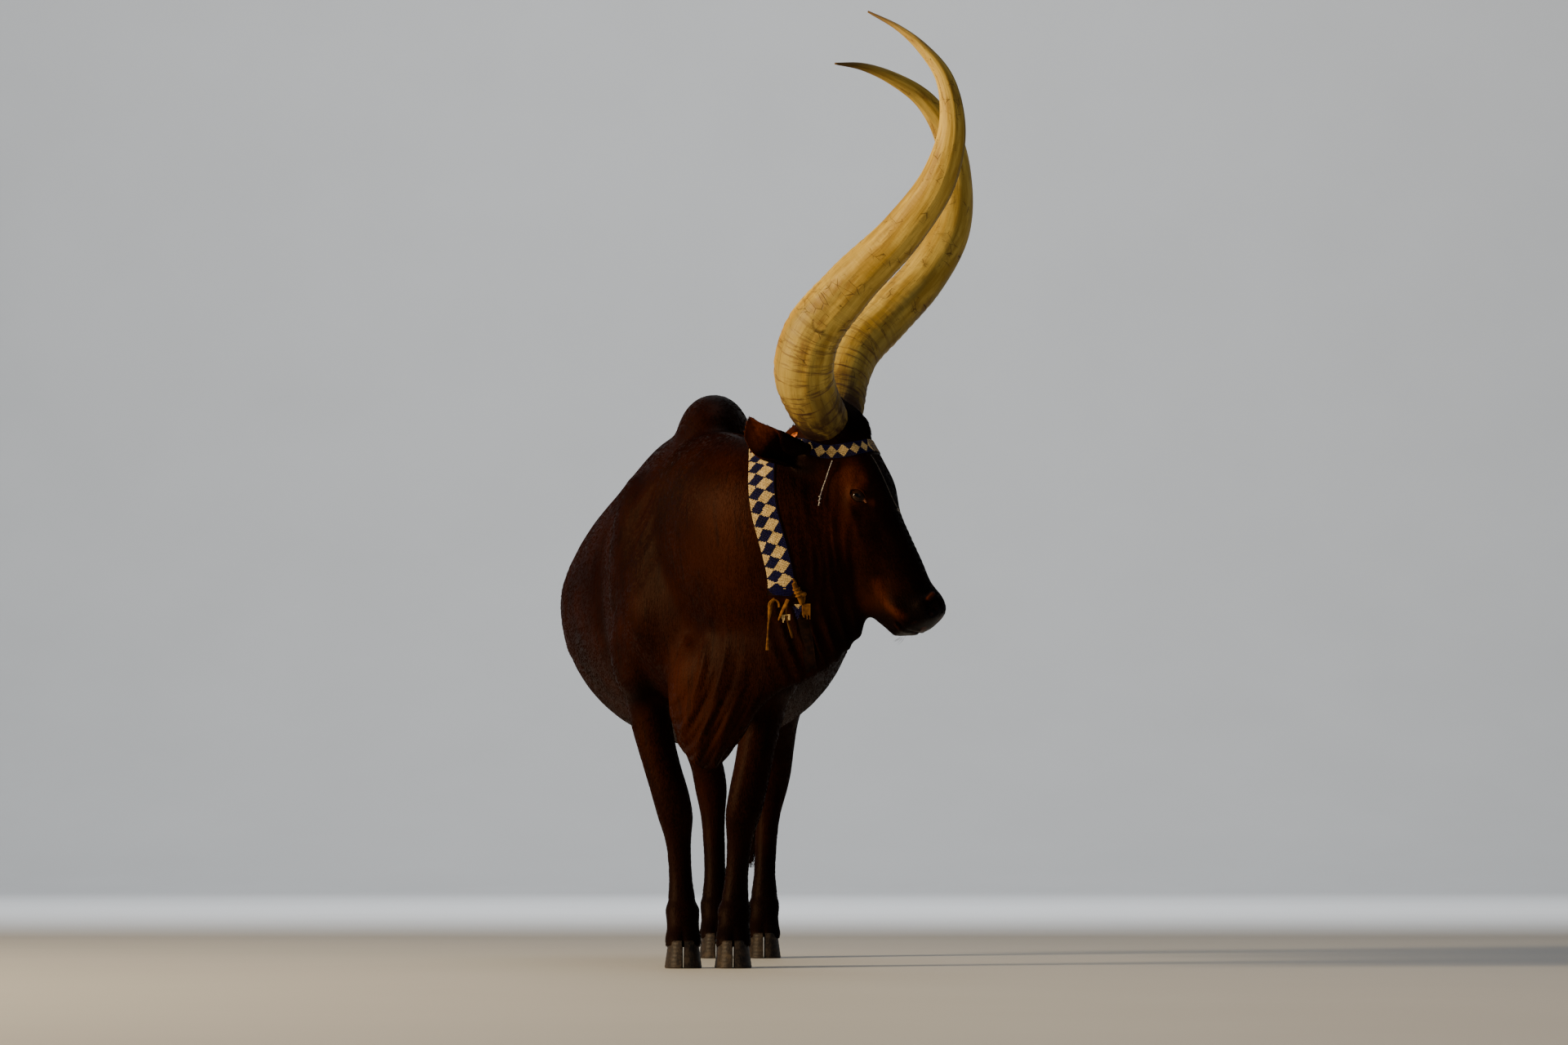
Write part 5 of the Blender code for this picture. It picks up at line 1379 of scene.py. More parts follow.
def bead_string(name, route, node, looks, finish, end_beads):
    """A string of tiny beads with a few larger ones at its end."""
    line = along(route, 120)
    t = np.linspace(0, route_length(line), 120)
    half = STRING_DIAMETER / 2 * (0.86 + 0.24 * np.abs(np.sin(math.pi * t / 0.0026)))
    made = sweep(name, np.column_stack([line, half]), 10)
    smooth(made)
    place(made, looks[finish], "bead_string", node)
    balls = []
    ahead = unit(line[-1] - line[-8])
    for along_end, aside, size in end_beads:
        at = line[-1] + ahead * along_end + np.array([aside, 0.0, 0.0])
        balls.append(ball("end", at, (size, size, size * 0.8), 3))
    cluster = joined(f"{name}_end", balls)
    smooth(cluster)
    place(cluster, looks["string"], "bead_string")
    moved = along(route, 24) + SHIFT


def hang_cords(looks):
    thong("long_thong", THONG_LONG, "thong_long", looks["leather"], (1.2, 1.9, 1.5, 0.8, 0.6, 0.6, 1.1, 1.4))
    thong("wide_thong", THONG_WIDE, "thong_wide", looks["leather"], (1.8, 1.9, 1.5, 1.2, 0.7))
    thong("short_thong", THONG_SHORT, "thong_short", looks["leather"], (0.7, 0.8, 0.6, 0.9, 1.1, 0.9))
    bead_string("cheek_beads", CHEEK_STRING, "cheek_string", looks, "string",
                ((-0.027, 0.0008, 0.0021), (-0.022, -0.0012, 0.0024), (-0.017, 0.0011, 0.0026),
                 (-0.012, -0.0010, 0.0025), (-0.007, 0.0008, 0.0023), (-0.002, 0.0000, 0.0019)))
    bead_string("brow_beads", BROW_STRING, "brow_string", looks, "dim",
                ((-0.014, 0.0003, 0.0020), (-0.009, -0.0005, 0.0023),
                 (-0.004, 0.0004, 0.0023), (0.000, 0.0, 0.0017)))


def strap_tie(look):
    """The knot that closes the strap: a bundled core with turns of thong round it."""
    rows = along(KNOT_ROWS, 20)
    parts = [sweep("core", rows, 14)]
    for start in (5, 8, 11):
        turns = []
        frames = carried_frames(rows[:, :3])
        for k, angle in enumerate(np.linspace(0, 2.1 * math.pi, 26)):
            row, (ahead, side, over) = rows[start], frames[start]
            round_core = (row[3] + 0.0008) * (math.cos(angle) * side + math.sin(angle) * over)
            turns.append((*(row[:3] + round_core + ahead * 0.0016 * k / 26), 0.0019))
        parts.append(sweep("turn", turns, 8))
    made = joined("strap_tie", parts)
    smooth(made, 60)
    place(made, look, "leather", "strap_knot")


def strap_end(looks, leather):
    """What hangs at the strap's end by the knot: a loop, a frayed tab, a ball and scraps of beadwork."""
    strips = (
        ((0.1465, -1.069, 0.850), (0.1490, -1.072, 0.866), (0.1560, -1.073, 0.873),
         (0.1640, -1.072, 0.868), (0.1665, -1.069, 0.856)),
        ((0.2240, -1.071, 0.889), (0.2262, -1.070, 0.876), (0.2240, -1.069, 0.866)),
        ((0.1990, -1.086, 0.922), (0.2040, -1.085, 0.914), (0.2060, -1.083, 0.905)),
    )
    parts = [sweep("strip", [(*p, 0.0016) for p in along(route, 14)], 8, flat=1.9) for route in strips]
    parts.append(ball("ball", (0.2215, -1.078, 0.8865), (0.0098, 0.0060, 0.0066)))
    draw = np.random.default_rng(SEED)
    for k in range(9):
        x, drop = 0.2215 + 0.0022 * k, draw.uniform(0.026, 0.037)
        fringe = ((x, -1.071, 0.864, 0.0014), (x, -1.072, 0.850, 0.0015), (x, -1.073, 0.864 - drop, 0.0009))
        parts.append(sweep("tab", fringe, 6, 8))
    made = joined("strap_end", parts)
    smooth(made, 60)
    place(made, leather, "leather")
    scraps = {"cream": [], "navy": []}
    for left, right, low, high, fill in SCRAPS:
        for x in np.arange(left, right, 0.0027):
            for z in np.arange(low, high, 0.0027):
                reach = 0.55 * (right - left) * (z - low + 0.004) / (high - low + 0.004)
                if abs(x - (left + right) / 2) < reach:
                    spot = (x, -1.070 + draw.uniform(0, 0.0008), z + draw.uniform(0, 0.0006))
                    scraps[fill].append(ball("bead", spot, (0.0014, 0.0013, 0.0014), 2))
    for fill, beads in scraps.items():
        made = joined(f"{fill}_scraps", beads)
        give(made.data, "tone", np.repeat(draw.random(len(beads)), len(made.data.vertices) // len(beads)))
        smooth(made)
        place(made, looks[fill], "beadwork")


def whiskers(look):
    """Sparse stiff hairs at the chin, the muzzle and before the ear."""
    draw = np.random.default_rng(SEED)
    hairs = []
    for middle, way, count in WHISKERS:
        for side in [1] * count + [-1] * count:
            f, r, d = np.array(middle) + draw.uniform(-0.016, 0.016, 3) * (1.0, 0.6, 0.4)
            aim = unit(np.array(way) + draw.normal(0, 0.22, 3))
            root = head_point((f, side * r, d))
            ahead = aim[0] * TO_MUZZLE + side * aim[1] * TO_RIGHT + aim[2] * TO_FRONT
            tip = root + draw.uniform(0.014, 0.026) * ahead
            hairs.append(lock(root, tip, 0.00035, 0.00035, 0.002 * TO_MUZZLE, 5))
    made = lock_mesh("whiskers", hairs)
    mark_hide(made.data)
    smooth(made)
    place(made, look, "hide")


def ear_tag(tree, look):
    """A round tag with a raised rim and button, pinned to the back of the left ear."""
    met, normal = tree.ray_cast(Vector((TAG_PLACE[0], -2.0, TAG_PLACE[1])), Vector((0.0, 1.0, 0.0)))[:2]
    normal = unit(normal)
    bpy.ops.mesh.primitive_cylinder_add(vertices=48, radius=TAG_RADIUS, depth=0.0022)
    made = bpy.context.object
    made.name = "tag_disc"
    select_faces(made, np.array([f.normal.z > 0.9 for f in made.data.polygons]))
    bpy.ops.mesh.inset(thickness=0.0020)
    bpy.ops.mesh.inset(thickness=0.0006)
    bpy.ops.transform.translate(value=(0, 0, -0.0006))
    bpy.ops.mesh.inset(thickness=0.0060)
    bpy.ops.mesh.inset(thickness=0.0006)
    bpy.ops.transform.translate(value=(0, 0, 0.0012))
    bpy.ops.mesh.inset(thickness=0.0020)
    bpy.ops.transform.translate(value=(0, 0, 0.0006))
    bpy.ops.object.mode_set(mode="OBJECT")
    apply_step(made, "BEVEL", width=0.0003, segments=2)
    turn = Vector((0, 0, 1)).rotation_difference(Vector(normal)).to_matrix().to_4x4()
    made.data.transform(Matrix.Translation(met) @ turn)
    smooth(made, 35)
    place(made, look, "ear_tag", "ear_tag")


# Hair

def lock(root, tip, width, thick, sway, steps=7):
    """The rings of one flat tapered lock that bends from root to tip."""
    rings = []
    for t in np.linspace(0.0, 1.0, steps):
        bend = math.sin(math.pi * t) + 0.25 * math.sin(3 * math.pi * t)
        centre = root + t * (tip - root) + sway * bend
        ahead = unit(tip - root + sway * math.pi * math.cos(math.pi * t))
        side = unit(np.cross(ahead, (0.2, 1.0, 0.1)))
        flat = np.cross(ahead, side)
        half, deep = width * (1 - 0.93 * t**1.6), thick * (1 - 0.8 * t)
        rings.append(np.array([centre + half * side, centre + deep * flat,
                               centre - half * side, centre - deep * flat]))
    return np.array(rings)


def lock_mesh(name, locks):
    """Closed four-sided locks as one mesh."""
    faces, base = [], 0
    for rings in locks:
        last = base + (len(rings) - 1) * 4
        for start in range(base, last, 4):
            for i in range(4):
                j = (i + 1) % 4
                faces.append((start + i, start + j, start + 4 + j, start + 4 + i))
        faces.append(tuple(base + i for i in reversed(range(4))))
        faces.append(tuple(last + i for i in range(4)))
        base = last + 4
    return mesh_object(name, np.concatenate([rings.reshape(-1, 3) for rings in locks]), faces)


def switch_locks():
    """The tuft at the tail's end: many fine locks in tiers out to their tips."""
    draw = np.random.default_rng(SEED)
    x, y, top = SWITCH_TOP
    locks, tones = [], []
    for _ in range(SWITCH_LOCKS):
        angle, drop = draw.uniform(0, 2 * math.pi), draw.uniform(0.0, 0.17)
        out = np.array([math.cos(angle), math.sin(angle), 0.0])
        inner = 0.010 if drop < 0.04 else 0.016
        root = np.array([x, y, top - drop]) + inner * draw.uniform(0.5, 1.0) * out
        reach = min(draw.uniform(0.12, 0.20), top - drop - SWITCH_BOTTOM)
        tip = np.array([x, y, top - drop - reach]) + out * draw.uniform(0.004, 0.036)
        sway = out * draw.uniform(0.004, 0.016)
        sway = sway + 0.004 * np.array([draw.uniform(-1, 1), draw.uniform(-1, 1), 0])
        locks.append(lock(root, tip, draw.uniform(0.0020, 0.0044), draw.uniform(0.0010, 0.0018), sway))
        tones.append(np.full(locks[-1].size // 3, draw.uniform()))
    made = lock_mesh("switch_locks", locks)
    mark_hide(made.data, np.concatenate(tones))
    smooth(made, 50)
    return made


def ear_axes(points):
    """The direction to the tip of the nearer ear, how much a point belongs to it and how far out it is."""
    best, weight, reach = np.zeros_like(points), np.zeros(len(points)), np.zeros(len(points))
    for rows in (RIGHT_EAR[1], LEFT_EAR[1]):
        line = along(rows, 24)
        steps = units(np.gradient(line[:, :3], axis=0))
        far = np.linalg.norm(points[:, None] - line[None, :, :3], axis=2)
        nearest = far.argmin(axis=1)
        own = 1 - band_step(far.min(axis=1) - line[nearest, 3], 0.004, 0.022)
        take = own > weight
        best[take], weight[take], reach[take] = steps[nearest[take]], own[take], nearest[take] / 23
    return best, weight, reach


def lie_of_coat(points, normals):
    """The way the hair lies at each point."""
    local = in_head_frame(points)
    on_head = band_step(local[:, 2], -0.30, -0.22) * band_step(local[:, 0], -0.10, -0.04)
    on_head = on_head * band_step(points[:, 0], 0.16, 0.24)
    front = band_step(-points[:, 1], 0.50, 0.75)
    low = 1 - band_step(points[:, 2], 0.50, 0.66)
    tail = band_step(points[:, 1], 0.80, 0.86)
    way = np.tile((0.0, 0.80, -0.60), (len(points), 1))
    lies = ((front, (0.05, 0.22, -1.0)), (low, (0.0, 0.04, -1.0)), (tail, (0.0, 0.05, -1.0)))
    for share, direction in lies:
        way = way * (1 - share)[:, None] + share[:, None] * np.array(direction)
    way = way * (1 - on_head)[:, None] + on_head[:, None] * TO_MUZZLE
    ear_way, ear_share, _ = ear_axes(points)
    way = way * (1 - ear_share)[:, None] + ear_share[:, None] * ear_way
    way = way - (way * normals).sum(axis=1)[:, None] * normals
    return units(way + 1e-6)


def hide_marks(points):
    """How dark, how warm and how bare the hide is at each point: dark hair with painted shade, warm hair with
    painted light, and bare skin.
    """
    local = in_head_frame(points)
    f, r, d = local.T
    on_head = band_step(f, -0.10, 0.0) * band_step(d, -0.32, -0.26) * band_step(points[:, 0], 0.22, 0.28)
    _, ear, out = ear_axes(points)
    out = band_step(out, 0.54, 0.66)
    bridge = band_step(d, -0.052, -0.012) * band_step(f, 0.05, 0.20)
    muzzle = band_step(f, 0.400, 0.465)
    poll = (1 - band_step(f, 0.0, 0.06)) * (1 - ear)
    night = on_head * np.clip(np.maximum(np.maximum(bridge, 0.92 * muzzle), 0.8 * poll), 0, 1)
    lower_leg = 1 - band_step(points[:, 2], 0.16, 0.50)
    switch = band_step(points[:, 1], 0.82, 0.86) * (1 - band_step(points[:, 2], 0.55, 0.75))
    night = np.maximum(night, 0.70 * np.maximum(lower_leg, switch))
    night = np.maximum(night, 0.45 * swell(points, (0.014, -0.46, 1.42), (0.12, 0.22, 0.12)))
    warm = np.zeros(len(points))
    for side in (1, -1):
        for share, spot, radii in WARM_FACE:
            warm = np.maximum(warm, share * swell(local, in_head(side, spot), radii))
    # Painted light and shade on the ears: the outer, lit part of each ear is painted warm, and the part by
    # its root is painted dark as shade.
    warm = np.maximum(warm * (1 - 0.8 * ear), 1.6 * ear * out)
    night = np.maximum(night * (1 - ear), 0.55 * ear * (1 - out))
    for share, spot, radii in WARM_BODY:
        warm = np.maximum(warm, share * swell(points, spot, radii))
    bare = np.zeros(len(points))
    for side in (1, -1):
        flank = beside(local, side)
        wing = groove(flank, on_flank(side, NOSTRIL_WING), 0.0080)
        edge = groove(flank, on_flank(side, NOSTRIL_RIM), 0.0050)
        lip = groove(flank, on_flank(side, LIP_BAND), 0.020)
        below = groove(local, head_line(side, UNDER_LIP), 0.010)
        # Painted highlights on the muzzle: each nostril's wing is painted warm and light as the highlight it
        # catches, and its rim is made lighter, partly bare skin and partly painted highlight. The lips and
        # the chin are made warmer and lighter.
        for warmth, light, mark in ((3.0, 1.0, wing), (0.0, 1.0, edge), (0.95, 0.95, lip), (0.8, 0.6, below)):
            warm = np.maximum(warm, warmth * mark)
            night = night * (1 - light * mark)
        pad = swell(flank, (0.512, side * FLANK, -0.034), (0.026, 0.040, 0.036)) * (1 - wing)
        bare = np.maximum(np.maximum(bare, pad), 0.6 * edge)
    bare = np.maximum(bare, band_step(f, 0.500, 0.522) * on_head)
    return {"night": night, "warm": warm * (1 - 0.6 * night),
            "bare": np.clip(bare * 1.4, 0, 1) * on_head, "head": on_head}


def mark_hide(mesh, tone=None):
    """Stores the hide's markings on a piece, for the one material that all of it shares."""
    points = coordinates(mesh)
    for name, values in hide_marks(points).items():
        if name not in mesh.attributes:
            give(mesh, name, values)
    give(mesh, "face_place", in_head_frame(points))
    give(mesh, "tone", np.full(len(points), 0.5) if tone is None else tone)


def unwrap(body):
    alone(body)
    bpy.ops.object.mode_set(mode="EDIT")
    bpy.ops.mesh.select_all(action="SELECT")
    bpy.ops.uv.smart_project(angle_limit=math.radians(60), island_margin=0.002)
    bpy.ops.object.mode_set(mode="OBJECT")


def skin_triangles(body):
    """The skin's triangles: corners, normals, areas and places on the unwrap."""
    mesh = body.data
    mesh.calc_loop_triangles()
    count = len(mesh.loop_triangles)
    loops, verts = np.empty(count * 3, np.int32), np.empty(count * 3, np.int32)
    mesh.loop_triangles.foreach_get("loops", loops)
    mesh.loop_triangles.foreach_get("vertices", verts)
    uvs = np.empty(len(mesh.loops) * 2, np.float32)
    mesh.uv_layers[0].data.foreach_get("uv", uvs)
    corners = coordinates(mesh)[verts].reshape(-1, 3, 3)
    directions = point_normals(mesh)[verts].reshape(-1, 3, 3)
    flat = uvs.reshape(-1, 2)[loops].reshape(-1, 3, 2)
    across = np.cross(corners[:, 1] - corners[:, 0], corners[:, 2] - corners[:, 0])
    areas = 0.5 * np.linalg.norm(across, axis=1)
    return corners, directions, areas, flat


def tuft_sizes(points, marks, draw):
    """Length, width, lift of the tip for each tuft by where it grows."""
    local = in_head_frame(points)
    count = len(points)
    length = np.full(count, 0.0125)
    lower = 1 - band_step(points[:, 2], 0.10, 0.55)
    length = length * (1 - 0.35 * lower)
    face = marks["head"] * band_step(local[:, 0], 0.05, 0.12)
    length = length * (1 - 0.60 * face)
    poll = marks["head"] * (1 - band_step(local[:, 0], 0.0, 0.07)) * band_step(local[:, 2], -0.16, -0.10)
    length = length * (1 + 1.4 * poll)
    length = length * (1 + 0.5 * swell(points, (0.01, -0.84, 0.50), (0.16, 0.20, 0.08)))
    _, ear, _ = ear_axes(points)
    length = length * (1 - 0.35 * ear * (1 - poll))
    length = length * draw.uniform(0.75, 1.2, count)
    width = 0.00045 + 0.036 * length
    lift = 0.0002 + 0.022 * length + 0.0004 * draw.random(count) + 0.004 * poll * draw.random(count)
    return length, width, lift


def grow(name, body_parts, wanted, count, seed):
    """Closed, tapered tufts that lie along the hide, their roots sunk in it."""
    corners, directions, areas, flat = body_parts
    draw = np.random.default_rng(seed)
    centres = corners.mean(axis=1)
    share = areas * wanted(centres)
    picked = draw.choice(len(areas), size=count, p=share / share.sum())
    a, b = np.sqrt(draw.random(count)), draw.random(count)
    mix = np.stack([1 - a, a * (1 - b), a * b], axis=1)[:, :, None]
    roots = (corners[picked] * mix).sum(axis=1)
    normals = units((directions[picked] * mix).sum(axis=1))
    places = (flat[picked] * mix).sum(axis=1)
    marks = hide_marks(roots)
    free = (marks["bare"] < 0.35) & ~covered(roots)
    roots, normals, places = roots[free], normals[free], places[free]
    marks = {key: value[free] for key, value in marks.items()}
    way = lie_of_coat(roots, normals)
    side = np.cross(normals, way)
    way = units(way + side * draw.normal(0, 0.065, len(roots))[:, None])
    side = np.cross(normals, way)
    length, width, lift = (v[:, None] for v in tuft_sizes(roots, marks, draw))
    sunk = roots - normals * 0.0012
    points = np.stack([sunk - side * width, sunk + side * width,
                       roots + way * length * 0.45 + normals * (lift * 0.75 + 0.0002),
                       roots + way * length + normals * lift * 0.8], axis=1)
    total = len(roots)
    shape = np.array([(0, 2, 3), (2, 1, 3), (0, 1, 2), (1, 0, 3)])[:, ::-1]
    faces = (shape[None] + 4 * np.arange(total)[:, None, None]).reshape(-1, 3)
    made = mesh_object(name, points.reshape(-1, 3), faces, outward=False)
    if np.array(made.data.polygons[0].normal) @ (normals[0] + side[0] * 0.01) < 0:
        made.data.flip_normals()
    for key, value in marks.items():
        give(made.data, key, np.repeat(value, 4))
    give(made.data, "face_place", in_head_frame(points.reshape(-1, 3)))
    give(made.data, "tone", np.repeat(draw.random(total), 4))
    layer = made.data.uv_layers.new(name="OFBake")
    patch = np.array([(-0.5, -0.5), (0.5, -0.5), (0.0, 0.0), (0.0, 0.5)]) * TUFT_PATCH
    corners_at = (places[:, None] + patch[None])[:, shape.ravel()].reshape(-1, 2)
    layer.data.foreach_set("uv", corners_at.astype(np.float32).ravel())
    smooth(made)
    made.data.normals_split_custom_set_from_vertices(np.repeat(normals, 4, axis=0))
    return made


def covered(points):
    """True where a horn, a band or a hoof hides the hide."""
    hidden = points[:, 2] < 0.052
    for rows in (NEAR_HORN_ROWS, FAR_HORN_ROWS):
        line = along(rows[:5], 24)
        far = np.linalg.norm(points[:, None] - line[None, :, :3], axis=2) - line[None, :, 3]
        hidden |= far.min(axis=1) < -0.002
    for tree in BAND_TREES:
        for k in np.flatnonzero(~hidden & (points[:, 0] > 0.08) & (points[:, 1] < -0.7)):
            if tree.find_nearest(Vector(points[k]), 0.004)[0] is not None:
                hidden[k] = True
    return hidden


# Finishes

def hide_look():
    """Dark mahogany hair, redder on cheek and brisket, blue-black on the bridge; a bare wet muzzle. Sheen is
    painted as lighter streaks along the hair, and the marks bring painted light and shade to the ears and the
    nostrils.
    """
    look = Look("hide", Specular_IOR_Level=0.035, Specular_Tint=(1.0, 0.60, 0.40, 1.0), Coat_Roughness=0.22)
    here, face = look.here(), look.attribute("face_place", vector=True)
    night, warm, bare, head, tone = (look.attribute(n) for n in ("night", "warm", "bare", "head", "tone"))
    down = look.noise(look.stretched(here, (1.0, 1.0, 0.05)), 330.0, 3.0)
    back = look.noise(look.stretched(here, (1.0, 0.07, 0.40)), 300.0, 3.0)
    muzzleward = look.noise(look.stretched(face, (0.07, 1.0, 1.0)), 460.0, 3.0)
    blend = look.noise(here, 2.2, 2.0).between(0.40, 0.60)
    body = down * blend + back * (1.0 - blend)
    strands = body * (1.0 - head) + muzzleward * head
    patches = look.noise(here, 6.5, 4.0, 0.6)
    streaks = look.noise(look.stretched(here, (1.0, 1.0, 0.09)), 62.0, 4.0, 0.62)
    colour = look.mix((0.0050, 0.0009, 0.0003), (0.0135, 0.0025, 0.0006), patches.between(0.30, 0.72))
    # The warm colour: warmer hair, and painted light on the ears' lit parts and on the nostrils' wings.
    colour = look.mix(colour, (0.0600, 0.0118, 0.0022), warm * (0.45 + 0.55 * patches))
    # The darkest colour: dark hair, and painted shade on the ears by their roots.
    colour = look.mix(colour, (0.0014, 0.0010, 0.0013), night * 0.95)
    colour = look.mix(colour, (0.0030, 0.0012, 0.0009), 0.55 * streaks.between(0.50, 0.70))
    # Painted sheen: lighter streaks along the hair, with random lighter tufts, kept off the darkest hair.
    tone_and_painted_sheen = 0.05 * tone.between(0.55, 1.0) + 0.17 * strands.between(0.54, 0.76)
    colour = look.mix(colour, (0.0700, 0.0165, 0.0034), tone_and_painted_sheen * (1.0 - night * 0.90))
    pebbles = look.cells(here, 420.0, "DISTANCE_TO_EDGE")
    pink = look.noise(here, 38.0, 3.0).between(0.50, 0.66)
    skin = look.mix((0.0040, 0.0022, 0.0020), (0.0900, 0.0240, 0.0110), pink * 0.45)
    colour = look.mix(colour, skin, bare)
    rough = 0.52 - 0.10 * strands + 0.05 * patches
    look.set(Base_Color=colour, Roughness=rough * (1.0 - bare) + 0.38 * bare, Coat_Weight=bare * 0.16)
    fur = look.bumps(strands, 0.60, 0.0016)
    fur = look.bumps(streaks, 0.20, 0.0030, fur)
    wet = look.bumps(pebbles.between(0.0, 0.35) * bare, 0.55, 0.0012, fur)
    look.set(Normal=wet)
    return look.material


def horn_look():
    """Cream-yellow horn: lengthwise fibres, fine cracks, stained rings at the root and brown tips."""
    look = Look("horn", Specular_IOR_Level=0.16)
    grain, share = look.attribute("grain", vector=True), look.attribute("share")
    fibres = look.noise(look.stretched(grain, (1.0, 1.0, 0.045)), 260.0, 4.0, 0.62, 0.2)
    broad = look.noise(look.stretched(grain, (1.0, 1.0, 0.16)), 42.0, 4.0, 0.6)
    stains = look.noise(look.stretched(grain, (1.0, 1.0, 0.5)), 24.0, 5.0, 0.62, 0.3)
    rings = look.noise(look.stretched(grain, (0.10, 0.10, 1.0)), 130.0, 4.0, 0.6)
    flakes = look.cells(look.stretched(grain, (0.45, 0.45, 1.0)), 46.0, "DISTANCE_TO_EDGE")
    root, tip = 1.0 - share.between(0.05, 0.17), share.between(0.86, 0.99)
    colour = look.mix((0.370, 0.225, 0.026), (0.630, 0.440, 0.085), broad.between(0.34, 0.68))
    green = look.noise(look.stretched(grain, (1.0, 1.0, 0.10)), 17.0, 3.0, 0.5)
    colour = look.mix(colour, (0.190, 0.150, 0.040), 0.60 * green.between(0.46, 0.66))
    colour = look.mix(colour, (0.200, 0.095, 0.018), 0.60 * stains.between(0.50, 0.70))
    colour = look.mix(colour, (0.100, 0.046, 0.012), 0.50 * fibres.between(0.54, 0.74))
    low = 1.0 - share.between(0.06, 0.40)
    colour = look.mix(colour, (0.110, 0.052, 0.020), 0.95 * low * rings.between(0.50, 0.62))
    colour = look.mix(colour, (0.030, 0.012, 0.005), root * (0.58 + 0.42 * stains.between(0.38, 0.58)))
    colour = look.mix(colour, (0.070, 0.032, 0.012), tip * 0.85)
    cracks = (1.0 - flakes.between(0.0, 0.030)) * stains.between(0.50, 0.60)
    colour = look.mix(colour, (0.040, 0.020, 0.008), 0.75 * cracks)
    look.set(Base_Color=colour, Roughness=0.38 + 0.22 * fibres + 0.15 * root)
    surface = look.bumps(fibres, 0.55, 0.0012)
    surface = look.bumps(rings, 0.40, 0.0018, surface)
    look.set(Normal=look.bumps(1.0 - cracks, 0.45, 0.0010, surface))
    return look.material


def hoof_look():
    look = Look("hoof", Specular_IOR_Level=0.2)
    here = look.here()
    upright = look.noise(look.stretched(here, (1.0, 1.0, 0.08)), 420.0, 3.0)
    level = look.noise(look.stretched(here, (0.10, 0.10, 1.0)), 240.0, 3.0)
    dust = look.noise(here, 46.0, 4.0, 0.6)
    colour = look.mix((0.009, 0.006, 0.005), (0.036, 0.024, 0.016), upright.between(0.40, 0.72))
    colour = look.mix(colour, (0.090, 0.062, 0.040), 0.35 * dust.between(0.46, 0.72))
    look.set(Base_Color=colour, Roughness=0.40 + 0.35 * dust)
    look.set(Normal=look.bumps(level, 0.4, 0.0012, look.bumps(upright, 0.35, 0.0008)))
    return look.material


def eye_look():
    """Dark brown iris with a wide level pupil, a little darkened white at the corners, all wet."""
    look = Look("eye", Roughness=0.04, Specular_IOR_Level=0.09)
    gaze = look.attribute("gaze", vector=True)
    parts = look.tree.nodes.new("ShaderNodeSeparateXYZ")
    look.feed(parts.inputs[0], gaze)
    a, b = Wire(look, parts.outputs[0]), Wire(look, parts.outputs[1])
    round_out = (a * a + b * b).maths("SQRT")
    pupil = 1.0 - ((a / 0.40) * (a / 0.40) + (b / 0.20) * (b / 0.20)).between(0.80, 1.15)
    iris = 1.0 - round_out.between(0.60, 0.68)
    rays = look.noise(look.stretched(gaze, (1.0, 1.0, 0.2)), 14.0, 4.0, 0.6, 0.4)
    white = look.noise(gaze, 5.0, 3.0)
    colour = look.mix((0.0060, 0.0018, 0.0010), (0.0250, 0.0080, 0.0042), white.between(0.40, 0.70))
    brown = look.mix((0.0060, 0.0026, 0.0016), (0.0260, 0.0100, 0.0045), rays.between(0.35, 0.70))
    colour = look.mix(colour, brown, iris)
    colour = look.mix(colour, (0.0015, 0.0018, 0.0030), pupil * iris)
    corner = a.between(0.72, 0.92)
    colour = look.mix(colour, (0.2600, 0.0560, 0.0160), corner)
    look.set(Base_Color=colour)
    return look.material


def flesh_look():
    look = Look("wet_flesh", Roughness=0.16, Specular_IOR_Level=0.40)
    veins = look.noise(look.here(), 600.0, 3.0)
    look.set(Base_Color=look.mix((0.160, 0.042, 0.012), (0.300, 0.100, 0.030), veins.between(0.40, 0.62)))
    return look.material


def bead_look(name, light, dark, rough):
    """Opaque glass beads, each a little different."""
    look = Look(name, Roughness=rough, Specular_IOR_Level=0.15)
    tone = look.attribute("tone")
    grime = look.noise(look.here(), 55.0, 4.0, 0.6)
    colour = look.mix(dark, light, tone.between(0.0, 1.0) * 0.55 + 0.45 * grime.between(0.30, 0.62))
    look.set(Base_Color=colour)
    return look.material


def leather_look(name, light, dark):
    look = Look(name, Specular_IOR_Level=0.04)
    here = look.here()
    pores = look.cells(here, 900.0)
    wear = look.noise(here, 90.0, 5.0, 0.6)
    colour = look.mix(dark, light, wear.between(0.32, 0.68))
    look.set(Base_Color=colour, Roughness=0.55 + 0.25 * wear)
    look.set(Normal=look.bumps(pores, 0.35, 0.0006, look.bumps(wear, 0.4, 0.0012)))
    return look.material


def string_look(name, light, dark):
    look = Look(name, Roughness=0.45)
    bits = look.cells(look.here(), 420.0, out=1)
    parts = look.tree.nodes.new("ShaderNodeSeparateColor")
    look.feed(parts.inputs[0], bits)
    pick = Wire(look, parts.outputs[0])
    colour = look.mix(light, dark, pick.between(0.40, 0.65))
    look.set(Base_Color=colour)
    return look.material


def tag_look():
    look = Look("tag", Roughness=0.42)
    marks = look.noise(look.here(), 240.0, 4.0, 0.6)
    look.set(Base_Color=look.mix((0.80, 0.19, 0.006), (0.48, 0.085, 0.004), marks.between(0.50, 0.72)),
             Normal=look.bumps(marks, 0.15, 0.0006))
    return look.material


def floor_look():
    look = Look("floor", Roughness=0.65)
    soft = look.noise(look.here(), 0.9, 3.0)
    look.set(Base_Color=look.mix((0.60, 0.59, 0.57), (0.66, 0.65, 0.63), soft))
    return look.material


# Assembly

